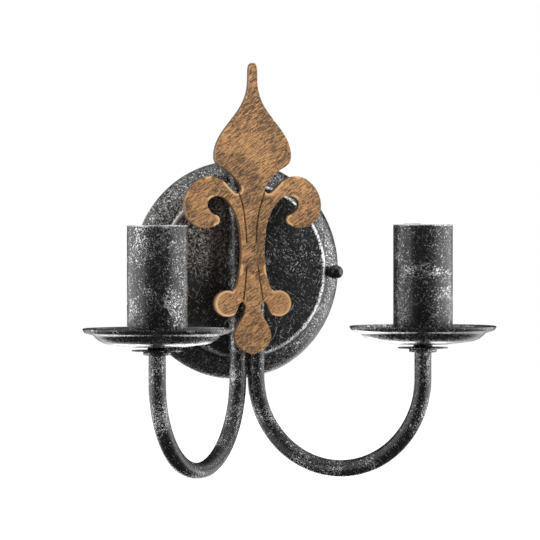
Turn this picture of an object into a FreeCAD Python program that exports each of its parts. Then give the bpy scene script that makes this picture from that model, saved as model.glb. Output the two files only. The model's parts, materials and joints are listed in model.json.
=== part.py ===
import FreeCAD, Part
import math
import os
import re

import Sketcher

# Double arm wall sconce. Millimetres. The wall is the plane Y = 0 and the front is -Y, +X is to the
# right and +Z is up. The origin is the centre of the wall canopy on the wall.

SIZES = {
    # wall canopy, pressed from sheet: flat plateau, small step, rounded rim
    "canopy_radius": 78.5,
    "canopy_depth": 16.5,
    "canopy_sheet": 1.2,
    "rim_width": 14.5,
    "rim_bend_radius": 23.0,
    "step_width": 2.0,
    "step_drop": 2.1,
    # wall bracket, a bent strap
    "bracket_sheet": 2.0,
    "bracket_width": 25.0,
    "slot_spacing": 60.0,
    "slot_length": 14.0,
    "slot_width": 5.2,
    "ear_gap": 7.5,
    "ear_half_length": 6.5,
    # slotted knob screws in the canopy rim
    "rim_screw_diameter": 4.0,
    "rim_screw_inset": 2.2,
    "rim_screw_lift": 1.0,
    "rim_screw_level": -1.6,
    "knob_diameter": 9.8,
    "knob_length": 10.1,
    "knob_neck_radius": 3.2,
    "knob_flare_height": 3.7,
    "knob_flare_radius": 4.95,
    "knob_shoulder_height": 5.3,
    "knob_crown_radius": 5.0,
    "knob_slot_width": 1.2,
    "knob_slot_depth": 2.2,
    # arms
    "tube_diameter": 12.0,
    "tube_wall": 1.0,
    "leg_gap": 1.7,
    "arm_reach": 130.3,
    "rear_leg_rise": 70.0,
    "bend_drop": 75.1,
    "front_leg_length": 18.3,
    "plug_head": 1.5,
    "plug_length": 6.0,
    # plate that the arms are welded to
    "arm_plate_sheet": 1.6,
    "arm_plate_inset": 1.35,
    "arm_plate_height": 116.0,
    "arm_screw_diameter": 4.0,
    "arm_screw_spacing": 84.0,
    "arm_screw_head": 7.6,
    "arm_screw_head_height": 2.4,
    "arm_screw_socket_radius": 1.2,
    "arm_screw_socket_depth": 1.2,
    "arm_screw_tip": 1.2,
    "arm_washer_diameter": 10.0,
    "arm_washer_sheet": 0.8,
    # ornament
    "ornament_height": 207.4,
    "ornament_sheet": 5.5,
    "ornament_gap": 2.3,
    "groove_width": 1.3,
    "groove_depth": 1.5,
    "spacer_width": 15.0,
    "spacer_height": 9.0,
    "upper_spacer_level": 62.2,
    "lower_spacer_level": 6.2,
    # stack on each arm's end
    "collar_proud": 3.8,
    "collar_height": 2.8,
    "dish_radius": 17.6,
    "dish_boss_foot_radius": 7.2,
    "dish_boss_radius": 6.3,
    "dish_height": 3.0,
    "dish_sheet": 0.9,
    "pan_radius": 52.0,
    "pan_height": 12.6,
    "pan_sheet": 1.0,
    "pan_foot_margin": 1.4,
    "pan_bowl_rise": 2.0,
    "pan_wall_run": 10.3,
    "pan_wall_bend": 16.0,
    "pan_crease_rise": 8.0,
    "pan_flange_run": 5.9,
    "pan_flange_rise": 9.8,
    "pan_lip_run": 1.8,
    "pan_lip_bend": 6.0,
    "cup_diameter": 42.0,
    "cup_height": 83.4,
    "cup_sheet": 0.9,
    # hollow nipple with its nut
    "nipple_wall": 1.0,
    "nipple_in_tube": 12.0,
    "nipple_setback": 1.0,
    "nut_wall": 2.0,
    "nut_height": 3.0,
    "lock_washer_width": 3.0,
    "lock_washer_sheet": 0.8,
    # lampholder, for a 27 mm screw cap
    "holder_gap": 0.9,
    "holder_wall": 1.4,
    "holder_height": 43.3,
    "holder_below_rim": 1.2,
    "holder_lip_gap": 1.35,
    "holder_lip_height": 2.0,
    "holder_base_overlap": 7.0,
    "holder_base_height": 22.0,
    "holder_base_shoulder": 1.0,
    "holder_neck_wall": 3.0,
    "holder_neck_height": 6.0,
    "carrier_height": 7.0,
    "carrier_chamfer": 0.3,
    "shell_bore_radius": 13.35,
    "shell_sheet": 0.5,
    "shell_length": 26.0,
    "contact_radius": 4.0,
    "contact_height": 3.5,
    "contact_recess_radius": 8.0,
    "contact_recess_depth": 4.0,
    # wiring
    "lead_diameter": 4.4,
    "lead_bend_radius": 6.0,
    "cable_level": 22.0,
    "bush_wall": 1.0,
    "bush_flange_width": 1.6,
    "bush_flange_sheet": 1.0,
    "block_width": 24.0,
    "block_height": 17.0,
    "block_depth": 9.0,
    "pole_spacing": 8.0,
    "insert_diameter": 4.4,
    "insert_bore": 3.0,
    "insert_inset": 1.0,
    "terminal_screw_diameter": 3.0,
    "terminal_screw_recess": 0.6,
    "terminal_slot_width": 0.6,
    "terminal_slot_depth": 0.6,
    "block_screw_diameter": 2.6,
    "block_screw_head": 4.6,
    "block_screw_head_height": 1.6,
    "block_screw_slot_width": 0.7,
    "block_screw_slot_depth": 1.0,
    "block_screw_tip_gap": 1.0,
    "earth_screw_diameter": 4.0,
    "earth_screw_head": 7.0,
    "earth_screw_head_height": 2.4,
    "earth_screw_slot_width": 1.0,
    "earth_screw_slot_depth": 1.3,
    "earth_offset": 18.0,
    "earth_tag_sheet": 0.8,
    "earth_lead_diameter": 2.4,
    "earth_lead_gap": 0.3,
    # clearances
    "running_clearance": 0.05,
    "hole_clearance": 0.3,
    "fit_clearance": 0.1,
    # how far a cut runs past the face that it starts from
    "overrun": 1.0,
    # a half circle is drawn this much larger, so that its centre has one place only
    "half_circle_ease": 1.0001,
}

# Sizes that follow from the driving ones.
DERIVED = {
    "rim_top_r": "canopy_radius - rim_width",
    "plateau_radius": "rim_top_r - step_width",
    "rim_top_d": "canopy_depth - step_drop",
    "rim_chord": "sqrt((canopy_radius - rim_top_r)^2 + rim_top_d^2)",
    "rim_sag": "sqrt(rim_bend_radius^2 - rim_chord^2 / 4)",
    "rim_centre_r": "(canopy_radius + rim_top_r) / 2 - rim_sag * rim_top_d / rim_chord",
    "rim_centre_d": "rim_top_d / 2 - rim_sag * (canopy_radius - rim_top_r) / rim_chord",
    "screw_seat_r": "rim_top_r + rim_screw_inset",
    "screw_seat_d": "rim_centre_d + sqrt(rim_bend_radius^2 - (screw_seat_r - rim_centre_r)^2)",
    "diagonal": "sqrt(0.5)",
    "ear_r": "screw_seat_r - ear_gap * diagonal",
    "ear_d": "screw_seat_d - ear_gap * diagonal",
    "ear_run": "ear_half_length * diagonal",
    "ear_peak_r": "ear_r - ear_run",
    "ear_peak_d": "ear_d + ear_run",
    "ear_tip_r": "ear_r + ear_run",
    "ear_tip_d": "ear_d - ear_run",
    "ear_foot_r": "ear_peak_r - ear_peak_d + bracket_sheet / 2",
    "mitre": "bracket_sheet / 2 * (sqrt(2) - 1)",
    "half_diagonal": "bracket_sheet / 2 * diagonal",
    "ear_drill": "bracket_sheet / 2 + overrun",
    "tube_radius": "tube_diameter / 2",
    "tube_bore_radius": "tube_radius - tube_wall",
    "leg_x": "(tube_diameter + leg_gap) / 2",
    "arm_plate_half_width": "leg_x + tube_radius - arm_plate_inset",
    "tube_depth": "canopy_depth + arm_plate_sheet + tube_radius",
    "bend_radius": "arm_reach / 2",
    "front_x": "leg_x + arm_reach * diagonal",
    "front_depth": "tube_depth + arm_reach * diagonal",
    "tube_top": "front_leg_length - bend_drop",
    "collar_radius": "tube_radius + collar_proud",
    "pan_foot_radius": "dish_radius + pan_foot_margin",
    "pan_flange_radius": "pan_radius - pan_lip_run",
    "pan_crease_radius": "pan_flange_radius - pan_flange_run",
    "pan_bowl_radius": "pan_crease_radius - pan_wall_run",
    "dish_z": "tube_top + collar_height",
    "pan_z": "dish_z + dish_height",
    "cup_z": "pan_z + pan_sheet",
    "cup_floor": "cup_z + cup_sheet",
    "cup_top": "cup_z + cup_height",
    "nipple_hole": "tube_bore_radius",
    "nipple_radius": "nipple_hole - running_clearance",
    "nipple_bore_radius": "nipple_hole - nipple_wall",
    "lock_washer_radius": "nipple_hole + lock_washer_width",
    "cup_radius": "cup_diameter / 2",
    "cup_corner_radius": "cup_radius - lock_washer_radius",
    "nut_z": "cup_floor + lock_washer_sheet",
    "holder_radius": "cup_radius - cup_sheet - holder_gap",
    "holder_lip_radius": "shell_bore_radius + shell_sheet + holder_lip_gap",
    "holder_neck_radius": "nipple_hole + holder_neck_wall",
    "holder_top": "cup_top - holder_below_rim",
    "skirt_z": "holder_top - holder_height",
    "base_radius": "holder_radius - holder_wall - fit_clearance",
    "base_top": "skirt_z + holder_base_overlap",
    "base_z": "base_top - holder_base_height",
    "shell_z": "base_top + carrier_height",
    "contact_z": "shell_z - contact_recess_depth",
    "ornament_depth": "tube_depth + tube_radius + ornament_gap",
    "lead_radius": "lead_diameter / 2",
    "bush_bore": "lead_radius + hole_clearance",
    "bush_radius": "bush_bore + bush_wall",
    "bush_hole": "bush_radius + fit_clearance",
    "block_top": "block_height / 2",
    "block_face": "bracket_sheet + block_depth",
    "pole_d": "bracket_sheet + block_depth / 2",
}

SIDES = {"left": -1, "right": 1}
ROOT_HALF = math.sqrt(0.5)

doc = FreeCAD.newDocument("Sconce")
sheet = doc.addObject("Spreadsheet::Sheet", "Sizes")
for row, (alias, number) in enumerate(SIZES.items(), start=1):
    sheet.set("A%d" % row, alias)
    sheet.set("B%d" % row, repr(number))
    sheet.setAlias("B%d" % row, alias)
doc.recompute()
parts = []


# ---------------------------------------------------------------- helpers

def formula(text):
    """Spell out a size, with each name as its cell of the sheet or as the sizes it follows from."""
    def word(match):
        name = match.group(0)
        if name in SIZES:
            return "Sizes." + name
        if name in DERIVED:
            return "(" + formula(DERIVED[name]) + ")"
        return name
    return re.sub(r"[a-z_]+", word, str(text))


def value(text):
    """The number that a size has now."""
    return float(sheet.evalExpression(formula(text)))


def bind(thing, path, text):
    thing.setExpression(path, formula(text))


def place(thing, x="0", y="0", z="0", rotation=None):
    """Put a piece at x, y, z and keep its place bound to the sheet."""
    thing.Placement = FreeCAD.Placement(FreeCAD.Vector(), rotation or FreeCAD.Rotation())
    for axis, text in (("x", x), ("y", y), ("z", z)):
        if text != "0":
            bind(thing, "Placement.Base." + axis, text)


def add_part(thing, label):
    thing.Label = label
    parts.append(thing)
    return thing


def new_body(label):
    return add_part(doc.addObject("PartDesign::Body", label), label)


def new_sketch(body, name, plane="XY_Plane", offset=None):
    sketch = body.newObject("Sketcher::SketchObject", name)
    support = [item for item in body.Origin.OriginFeatures if item.Role == plane][0]
    sketch.AttachmentSupport = (support, [""])
    sketch.MapMode = "FlatFace"
    if offset is not None:
        bind(sketch, "AttachmentOffset.Base.z", offset)
    return sketch


def pin_point(sketch, geometry, end, x, y):
    """Tie one end or the centre of a line or arc to its sizes. A size of None is left free."""
    for kind, axis, text in (("DistanceX", -2, x), ("DistanceY", -1, y)):
        if text is None:
            continue
        number = value(text)
        if abs(number) < 1e-9:
            sketch.addConstraint(Sketcher.Constraint("PointOnObject", geometry, end, axis))
            continue
        first, second = (-1, 1), (geometry, end)
        if number < 0:
            first, second = second, first
            text = "-(%s)" % text
        index = sketch.addConstraint(
            Sketcher.Constraint(kind, first[0], first[1], second[0], second[1], abs(number)))
        bind(sketch, "Constraints[%d]" % index, text)


def draw_outline(sketch, corners, arcs=None):
    """Draw a closed outline. An arc is {corner number: radius} for the edge that starts there, and its
    radius is negative where the edge bends to the right of its run."""
    arcs = arcs or {}
    spots = [FreeCAD.Vector(value(x), value(y), 0) for x, y in corners]
    ends = []
    for number, start in enumerate(spots):
        finish = spots[(number + 1) % len(spots)]
        if number not in arcs:
            sketch.addGeometry(Part.LineSegment(start, finish), False)
            ends.append((1, 2))
            continue
        radius = value(arcs[number])
        chord = finish - start
        left = FreeCAD.Vector(-chord.y, chord.x, 0).normalize()
        rise = math.sqrt(radius ** 2 - (chord.Length / 2) ** 2)
        centre = (start + finish) / 2 + left * math.copysign(rise, radius)
        first, last = (start, finish) if radius > 0 else (finish, start)
        angles = [math.atan2(spot.y - centre.y, spot.x - centre.x) for spot in (first, last)]
        circle = Part.Circle(centre, FreeCAD.Vector(0, 0, 1), abs(radius))
        sketch.addGeometry(Part.ArcOfCircle(circle, angles[0], angles[1]), False)
        ends.append((1, 2) if radius > 0 else (2, 1))
    for number, (x, y) in enumerate(corners):
        last = number - 1 if number else len(corners) - 1
        sketch.addConstraint(
            Sketcher.Constraint("Coincident", last, ends[last][1], number, ends[number][0]))
        pin_point(sketch, number, ends[number][0], x, y)
    for number, text in arcs.items():
        radius = abs(value(text))
        index = sketch.addConstraint(Sketcher.Constraint("Radius", number, radius))
        bind(sketch, "Constraints[%d]" % index, "abs(%s)" % text)


def draw_circle(sketch, radius, x="0", y="0"):
    circle = Part.Circle(FreeCAD.Vector(value(x), value(y), 0), FreeCAD.Vector(0, 0, 1), value(radius))
    index = sketch.addGeometry(circle, False)
    pin_point(sketch, index, 3, x, y)
    bind(sketch, "Constraints[%d]" % sketch.addConstraint(
        Sketcher.Constraint("Radius", index, value(radius))), radius)


def turn(body, corners, arcs=None, plane="XZ_Plane"):
    """Turn an outline about the body's own upright (XZ_Plane) or front-to-back (XY_Plane) axis."""
    sketch = new_sketch(body, body.Label + "_outline", plane)
    draw_outline(sketch, corners, arcs)
    turned = body.newObject("PartDesign::Revolution", body.Label + "_turned")
    turned.Profile = sketch
    turned.ReferenceAxis = (sketch, ["V_Axis"])
    turned.Angle = 360
    sketch.Visibility = False
    doc.recompute()
    return turned


def hollow(body, solid, sheet_size, direction):
    """Hollow a solid to a sheet and leave it open on the flat side that faces the direction."""
    flat = [face for face in enumerate(solid.Shape.Faces, start=1)
            if face[1].Surface.TypeId == "Part::GeomPlane"
            and face[1].normalAt(0, 0).dot(direction) > 0.99]
    opened = max(flat, key=lambda face: face[1].CenterOfMass.dot(direction))
    shell = body.newObject("PartDesign::Thickness", body.Label + "_sheet")
    shell.Base = (solid, ["Face%d" % opened[0]])
    bind(shell, "Value", sheet_size)
    shell.Mode = "Skin"
    shell.Join = "Intersection"
    shell.Reversed = True
    doc.recompute()
    return shell


def bore(body, name, radius, length, x="0", y="0", z="0", direction=(0, 0, 1)):
    """Drill a round hole from x, y, z along a direction."""
    drill = body.newObject("PartDesign::SubtractiveCylinder", body.Label + "_" + name)
    bind(drill, "Radius", radius)
    bind(drill, "Height", length)
    rotation = FreeCAD.Rotation(FreeCAD.Vector(0, 0, 1), FreeCAD.Vector(*direction))
    place(drill, x, y, z, rotation)
    doc.recompute()
    return drill


def pad(body, sketch, length, midplane=False):
    padded = body.newObject("PartDesign::Pad", body.Label + "_pad")
    padded.Profile = sketch
    bind(padded, "Length", length)
    if midplane:
        padded.SideType = "Symmetric"
    sketch.Visibility = False
    doc.recompute()
    return padded


def cylinder(name, radius, length, x="0", y="0", z="0", direction=(0, 0, 1)):
    rod = doc.addObject("Part::Cylinder", name)
    bind(rod, "Radius", radius)
    bind(rod, "Height", length)
    place(rod, x, y, z, FreeCAD.Rotation(FreeCAD.Vector(0, 0, 1), FreeCAD.Vector(*direction)))
    return rod


def box(name, length, width, height, x, y, z):
    block = doc.addObject("Part::Box", name)
    bind(block, "Length", length)
    bind(block, "Width", width)
    bind(block, "Height", height)
    place(block, x, y, z)
    return block


def driver_slot(name, head, x, face, z, width, depth):
    """Cutter for a level screwdriver slot across a head whose front face is at y = face."""
    return box(name, "%s + 2 * overrun" % head, "%s + overrun" % depth, width,
               "%s - %s / 2 - overrun" % (x, head), "%s - overrun" % face, "%s - %s / 2" % (z, width))


def cut(label, base, tools):
    """Take tools away from a base, one or several."""
    joined = tools[0]
    if len(tools) > 1:
        joined = doc.addObject("Part::MultiFuse", label + "_tools")
        joined.Shapes = tools
    result = doc.addObject("Part::Cut", label)
    result.Base = base
    result.Tool = joined
    return result


def group(label, members):
    """Several like pieces, kept as separate solids under one name."""
    together = doc.addObject("Part::Compound", label)
    together.Links = members
    return add_part(together, label)


def rod_along(label, edges, start, heading, radius):
    """A round lead along straight runs joined by tangent arcs."""
    route = Part.Wire(edges)
    section = Part.Wire([Part.Circle(start, heading, radius).toShape()])
    lead = add_part(doc.addObject("Part::Feature", label), label)
    lead.Shape = route.makePipeShell([section], True, False)
    expected = math.pi * radius ** 2 * route.Length
    print("%s: length %.1f, volume %.4f of expected" % (label, route.Length, lead.Shape.Volume / expected))
    return lead


# ---------------------------------------------------------------- wall canopy and bracket

FRONT = FreeCAD.Vector(0, -1, 0)
BACK = FreeCAD.Vector(0, 1, 0)
UP = FreeCAD.Vector(0, 0, 1)


def make_canopy():
    """Pressed round canopy, open at the wall. Its outline is drawn in radius and -depth."""
    body = new_body("canopy")
    solid = turn(body, [
        ("0", "0"),
        ("canopy_radius", "0"),
        ("rim_top_r", "-(rim_top_d)"),
        ("plateau_radius", "-(canopy_depth)"),
        ("0", "-(canopy_depth)"),
    ], {1: "-(rim_bend_radius)"}, "XY_Plane")
    hollow(body, solid, "canopy_sheet", BACK)
    through = "canopy_depth + overrun"
    before = "-(%s)" % through
    reach = "2 * canopy_sheet"
    for side, sign in SIDES.items():
        bore(body, side + "_cable_hole", "bush_hole", through, "%d * leg_x" % sign, before,
             "cable_level", (0, 1, 0))
        bore(body, side + "_rim_hole", "rim_screw_diameter / 2 + hole_clearance", "2 * %s" % reach,
             "%d * (screw_seat_r - %s * diagonal)" % (sign, reach),
             "-(screw_seat_d) + %s * diagonal" % reach, "rim_screw_level", (sign, -1, 0))
    for level, sign in (("upper", 1), ("lower", -1)):
        bore(body, level + "_screw_hole", "arm_screw_diameter / 2 + hole_clearance", through,
             "0", before, "%d * arm_screw_spacing / 2" % sign, (0, 1, 0))


def make_wall_bracket():
    """Strap on the wall. Each end rises and folds back, so that its tapped slope faces the rim screw."""
    body = new_body("wall_bracket")
    right = [
        ("ear_foot_r + mitre", "0"),
        ("ear_peak_r", "ear_peak_d - 2 * half_diagonal"),
        ("ear_tip_r - half_diagonal", "ear_tip_d - half_diagonal"),
        ("ear_tip_r + half_diagonal", "ear_tip_d + half_diagonal"),
        ("ear_peak_r", "ear_peak_d + 2 * half_diagonal"),
        ("ear_foot_r - mitre", "bracket_sheet"),
    ]
    left = [("-(%s)" % x, depth) for x, depth in reversed(right)]
    sketch = new_sketch(body, "bracket_fold")
    draw_outline(sketch, [(x, "-(%s)" % depth) for x, depth in right + left])
    pad(body, sketch, "bracket_width", midplane=True)
    for side, sign in SIDES.items():
        bore(body, side + "_tapped_hole", "rim_screw_diameter / 2 + running_clearance",
             "2 * ear_drill", "%d * (ear_r - ear_drill * diagonal)" % sign,
             "-(ear_d) + ear_drill * diagonal", "rim_screw_level", (sign, -1, 0))
        slot = new_sketch(body, side + "_slot", "XZ_Plane")
        middle = "%d * slot_spacing / 2" % sign
        half_run = "(slot_length - slot_width) / 2"
        half_width = "slot_width / 2"
        draw_outline(slot, [
            ("%s - %s" % (middle, half_run), "-(%s)" % half_width),
            ("%s + %s" % (middle, half_run), "-(%s)" % half_width),
            ("%s + %s" % (middle, half_run), half_width),
            ("%s - %s" % (middle, half_run), half_width),
        ], {1: "%s * half_circle_ease" % half_width, 3: "%s * half_circle_ease" % half_width})
        pocket = body.newObject("PartDesign::Pocket", side + "_slot_cut")
        pocket.Profile = slot
        bind(pocket, "Length", "2 * (bracket_sheet + overrun)")
        pocket.SideType = "Symmetric"
        slot.Visibility = False
        doc.recompute()
    through = "bracket_sheet + 2 * overrun"
    before = "-(bracket_sheet + overrun)"
    bore(body, "earth_hole", "earth_screw_diameter / 2", through, "earth_offset", before, "0", (0, 1, 0))
    bore(body, "block_hole", "block_screw_diameter / 2", through, "-(pole_spacing / 2)", before, "0",
         (0, 1, 0))


def make_rim_screws():
    """Slotted knob screws, square to the bracket's slopes, at 45 degrees to the wall."""
    for side, sign in SIDES.items():
        body = new_body("canopy_screw_" + side)
        shank = "rim_screw_diameter / 2"
        tip = "-(ear_gap + 2 * bracket_sheet)"
        turn(body, [
            ("0", tip),
            (shank, tip),
            (shank, "rim_screw_lift"),
            ("knob_neck_radius", "rim_screw_lift"),
            ("knob_diameter / 2", "rim_screw_lift + knob_flare_height"),
            ("knob_diameter / 2", "rim_screw_lift + knob_shoulder_height"),
            ("0", "rim_screw_lift + knob_length"),
        ], {3: "knob_flare_radius", 5: "knob_crown_radius"})
        slot = body.newObject("PartDesign::SubtractiveBox", body.Label + "_slot")
        bind(slot, "Length", "knob_slot_width")
        bind(slot, "Width", "knob_diameter + 2 * overrun")
        bind(slot, "Height", "knob_slot_depth + overrun")
        place(slot, "-(knob_slot_width / 2)", "-(knob_diameter / 2 + overrun)",
              "rim_screw_lift + knob_length - knob_slot_depth")
        outward = FreeCAD.Rotation(FreeCAD.Vector(0, 0, sign), UP, FreeCAD.Vector(sign, -1, 0), "ZYX")
        place(body, "%d * screw_seat_r" % sign, "-(screw_seat_d)", "rim_screw_level", outward)


# ---------------------------------------------------------------- arms

def make_arm_plate():
    body = new_body("arm_back_plate")
    sketch = new_sketch(body, "arm_plate_outline", "XZ_Plane")
    wide = "arm_plate_half_width"
    tall = "arm_plate_height / 2"
    draw_outline(sketch, [("-(%s)" % wide, "-(%s)" % tall), (wide, "-(%s)" % tall),
                          (wide, tall), ("-(%s)" % wide, tall)])
    pad(body, sketch, "arm_plate_sheet")
    through = "arm_plate_sheet + 2 * overrun"
    before = "-(arm_plate_sheet + overrun)"
    for side, sign in SIDES.items():
        bore(body, side + "_cable_hole", "bush_hole", through, "%d * leg_x" % sign, before,
             "cable_level", (0, 1, 0))
    for level, sign in (("upper", 1), ("lower", -1)):
        bore(body, level + "_tapped_hole", "arm_screw_diameter / 2 + running_clearance", through,
             "0", before, "%d * arm_screw_spacing / 2" % sign, (0, 1, 0))
    place(body, "0", "-(canopy_depth)")


def make_arm_screws():
    """Two screws from inside the canopy into the arm plate, each with its washer."""
    screws = []
    washers = []
    seat = "-(canopy_depth - canopy_sheet) + arm_washer_sheet"
    top = "%s + arm_screw_head_height" % seat
    shank_length = "arm_screw_tip + arm_plate_sheet + canopy_sheet + arm_washer_sheet"
    for level, sign in (("upper", 1), ("lower", -1)):
        height = "%d * arm_screw_spacing / 2" % sign
        shank = cylinder(level + "_shank", "arm_screw_diameter / 2", shank_length, "0", seat, height,
                         (0, -1, 0))
        head = cylinder(level + "_head", "arm_screw_head / 2", "arm_screw_head_height", "0", top, height,
                        (0, -1, 0))
        screw = doc.addObject("Part::Fuse", level + "_arm_screw")
        screw.Base = head
        screw.Tool = shank
        drive = doc.addObject("Part::Prism", level + "_drive")
        drive.Polygon = 6
        bind(drive, "Circumradius", "arm_screw_socket_radius")
        bind(drive, "Height", "arm_screw_socket_depth + overrun")
        place(drive, "0", "%s - arm_screw_socket_depth" % top, height, FreeCAD.Rotation(UP, BACK))
        screws.append(cut(level + "_driven_screw", screw, [drive]))
        ring = cylinder(level + "_ring", "arm_washer_diameter / 2", "arm_washer_sheet", "0", seat, height,
                        (0, -1, 0))
        hole = cylinder(level + "_ring_hole", "arm_screw_diameter / 2 + fit_clearance",
                        "arm_washer_sheet + 2 * overrun", "0", "%s + overrun" % seat, height, (0, -1, 0))
        washers.append(cut(level + "_arm_washer", ring, [hole]))
    group("arm_plate_screws", screws)
    group("arm_plate_washers", washers)


def make_arm_tube(side, sign):
    """Bent tube, drawn in its own upright plane: rear leg at x = 0, front leg at x = arm_reach."""
    body = new_body(side + "_arm_tube")
    path = new_sketch(body, side + "_arm_path", "XZ_Plane")
    top = value("rear_leg_rise")
    bottom = value("-(bend_drop)")
    front_top = value("tube_top")
    reach = value("arm_reach")
    path.addGeometry([
        Part.LineSegment(FreeCAD.Vector(0, top, 0), FreeCAD.Vector(0, bottom, 0)),
        Part.ArcOfCircle(Part.Circle(FreeCAD.Vector(reach / 2, bottom, 0), UP, reach / 2),
                         math.pi, 2 * math.pi),
        Part.LineSegment(FreeCAD.Vector(reach, bottom, 0), FreeCAD.Vector(reach, front_top, 0)),
    ], False)
    pin_point(path, 0, 1, "0", "rear_leg_rise")
    pin_point(path, 0, 2, "0", "-(bend_drop)")
    path.addConstraint(Sketcher.Constraint("Coincident", 0, 2, 1, 1))
    pin_point(path, 1, 3, "bend_radius", "-(bend_drop)")
    path.addConstraint(Sketcher.Constraint("Coincident", 1, 2, 2, 1))
    pin_point(path, 2, 1, None, "-(bend_drop)")
    pin_point(path, 2, 2, "arm_reach", "tube_top")
    section = new_sketch(body, side + "_arm_section", "XY_Plane", "rear_leg_rise")
    draw_circle(section, "tube_radius")
    draw_circle(section, "tube_bore_radius")
    pipe = body.newObject("PartDesign::AdditivePipe", side + "_arm_bend")
    pipe.Profile = section
    pipe.Spine = (path, ["Edge1", "Edge2", "Edge3"])
    path.Visibility = section.Visibility = False
    doc.recompute()
    turned = FreeCAD.Rotation(UP, -90 + 45 * sign)
    to_wall = turned.inverted().multVec(BACK)
    bore(body, "cable_hole", "bush_bore", "tube_diameter", z="cable_level", direction=tuple(to_wall))
    place(body, "%d * leg_x" % sign, "-(tube_depth)", "0", turned)

    plug = new_body(side + "_tube_plug")
    spigot = "tube_bore_radius - fit_clearance"
    turn(plug, [("0", "-(plug_length)"), (spigot, "-(plug_length)"), (spigot, "0"),
                ("tube_radius", "0"), ("tube_radius", "plug_head / 2"),
                ("tube_radius - plug_head / 2", "plug_head"), ("0", "plug_head")],
         {4: "plug_head / 2 * half_circle_ease"})
    place(plug, "%d * leg_x" % sign, "-(tube_depth)", "rear_leg_rise")


# ---------------------------------------------------------------- ornament

# Half of the fleur-de-lis, from its nose down to its foot, as (x, z) of the drawn height.
PETAL = [(0.0, 148.1), (1.7, 147.2), (2.7, 144.5), (3.0, 136.5), (5.1, 123.9), (9.7, 115.1),
         (17.9, 104.6), (24.9, 94.8), (28.4, 84.7), (27.6, 77.5), (20.5, 72.0), (13.0, 65.7), (8.8, 59.1)]
UPPER_NOTCH = [PETAL[-1], (9.2, 56.8), (13.8, 55.8)]
SCROLL_BACK = [UPPER_NOTCH[-1], (17.1, 58.7), (22.7, 64.0), (34.8, 67.2), (45.0, 61.5), (51.3, 48.7),
               (50.0, 39.7), (43.7, 32.5), (34.5, 30.6), (28.4, 32.5)]
SCROLL_TIP = [SCROLL_BACK[-1], (25.2, 35.6), (27.3, 39.7)]
SCROLL_FRONT = [SCROLL_TIP[-1], (32.6, 42.6), (34.6, 48.5), (29.5, 53.0), (23.0, 52.6), (17.8, 48.6),
                (13.3, 41.3), (10.5, 33.6), (8.9, 22.9), (8.5, 12.0), (9.9, -1.5), (12.1, -9.8),
                (15.6, -14.6)]
BALL = [SCROLL_FRONT[-1], (28.8, -23.4), (15.1, -31.7)]
LOWER_NOTCH = [BALL[-1], (12.6, -28.9), (11.2, -25.3), (9.8, -22.9), (8.2, -21.9), (6.5, -23.2),
               (5.6, -26.7)]
BULB = [LOWER_NOTCH[-1], (6.7, -31.2), (8.5, -34.6), (11.0, -38.5), (13.1, -43.5), (13.4, -47.6),
        (11.7, -52.1), (7.5, -56.3), (0.0, -59.3)]
# Engraved down the stem, above and below its tie. They are drawn by hand, so the sides differ.
GROOVES = [
    [(-11.4, 58.0), (-10.8, 55.5), (-8.7, 49.0), (-7.2, 42.2), (-5.7, 31.1), (-5.0, 19.9)],
    [(9.0, 58.6), (7.3, 51.9), (6.1, 48.9), (4.2, 42.1), (2.8, 33.0), (2.3, 20.4)],
    [(-4.7, 4.3), (-5.9, -8.6), (-7.4, -21.2)],
    [(3.4, 4.2), (5.4, -8.7), (7.4, -21.2)],
]
DRAWN_HEIGHT = PETAL[0][1] - BULB[-1][1]


def ornament_points(spots, mirror=1):
    """Points of the fleur-de-lis, scaled from its drawn height to the sheet's height."""
    scale = value("ornament_height") / DRAWN_HEIGHT
    return [FreeCAD.Vector(x * scale * mirror, z * scale, 0) for x, z in spots]


def half_ornament(mirror):
    """Edges from the nose down one side to the foot: free curves, joined by arcs."""
    def curve(spots):
        line = Part.BSplineCurve()
        line.interpolate(ornament_points(spots, mirror))
        return line

    def arc(spots):
        return Part.Arc(*ornament_points(spots, mirror))

    return [curve(PETAL), arc(UPPER_NOTCH), curve(SCROLL_BACK), arc(SCROLL_TIP), curve(SCROLL_FRONT),
            arc(BALL), curve(LOWER_NOTCH), curve(BULB)]


def groove_outline(spots):
    """Corners of a groove: its line of points, moved half a groove's width to each side."""
    points = ornament_points(spots)
    half = value("groove_width / 2")
    beside = []
    for number, point in enumerate(points):
        along = points[min(number + 1, len(points) - 1)] - points[max(number - 1, 0)]
        beside.append(FreeCAD.Vector(-along.y, along.x, 0).normalize() * half)
    left = [point + across for point, across in zip(points, beside)]
    right = [point - across for point, across in zip(points, beside)]
    return left + right[::-1]


def make_ornament():
    """Flat fleur-de-lis plate with four engraved grooves."""
    body = new_body("fleur_ornament")
    sketch = new_sketch(body, "fleur_outline", "XZ_Plane")
    for mirror in (1, -1):
        for edge in half_ornament(mirror):
            sketch.addGeometry(edge, False)
    pad(body, sketch, "ornament_sheet")
    grooves = new_sketch(body, "fleur_grooves", "XZ_Plane", "ornament_sheet")
    for groove in GROOVES:
        corners = groove_outline(groove)
        for number, corner in enumerate(corners):
            line = Part.LineSegment(corner, corners[(number + 1) % len(corners)])
            grooves.addGeometry(line, False)
    engraved = body.newObject("PartDesign::Pocket", "fleur_engraved")
    engraved.Profile = grooves
    bind(engraved, "Length", "groove_depth")
    doc.recompute()
    place(body, "0", "-(ornament_depth)")


def make_spacers():
    """Two blocks that hold the ornament off the tubes."""
    blocks = []
    for level in ("upper", "lower"):
        blocks.append(box(level + "_spacer", "spacer_width", "ornament_gap", "spacer_height",
                          "-(spacer_width / 2)", "-(ornament_depth)",
                          "%s_spacer_level - spacer_height / 2" % level))
    group("ornament_spacers", blocks)


# ---------------------------------------------------------------- pans and cups on the arms' ends

def at_arm_end(body, sign, height):
    place(body, "%d * front_x" % sign, "-(front_depth)", height)


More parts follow.
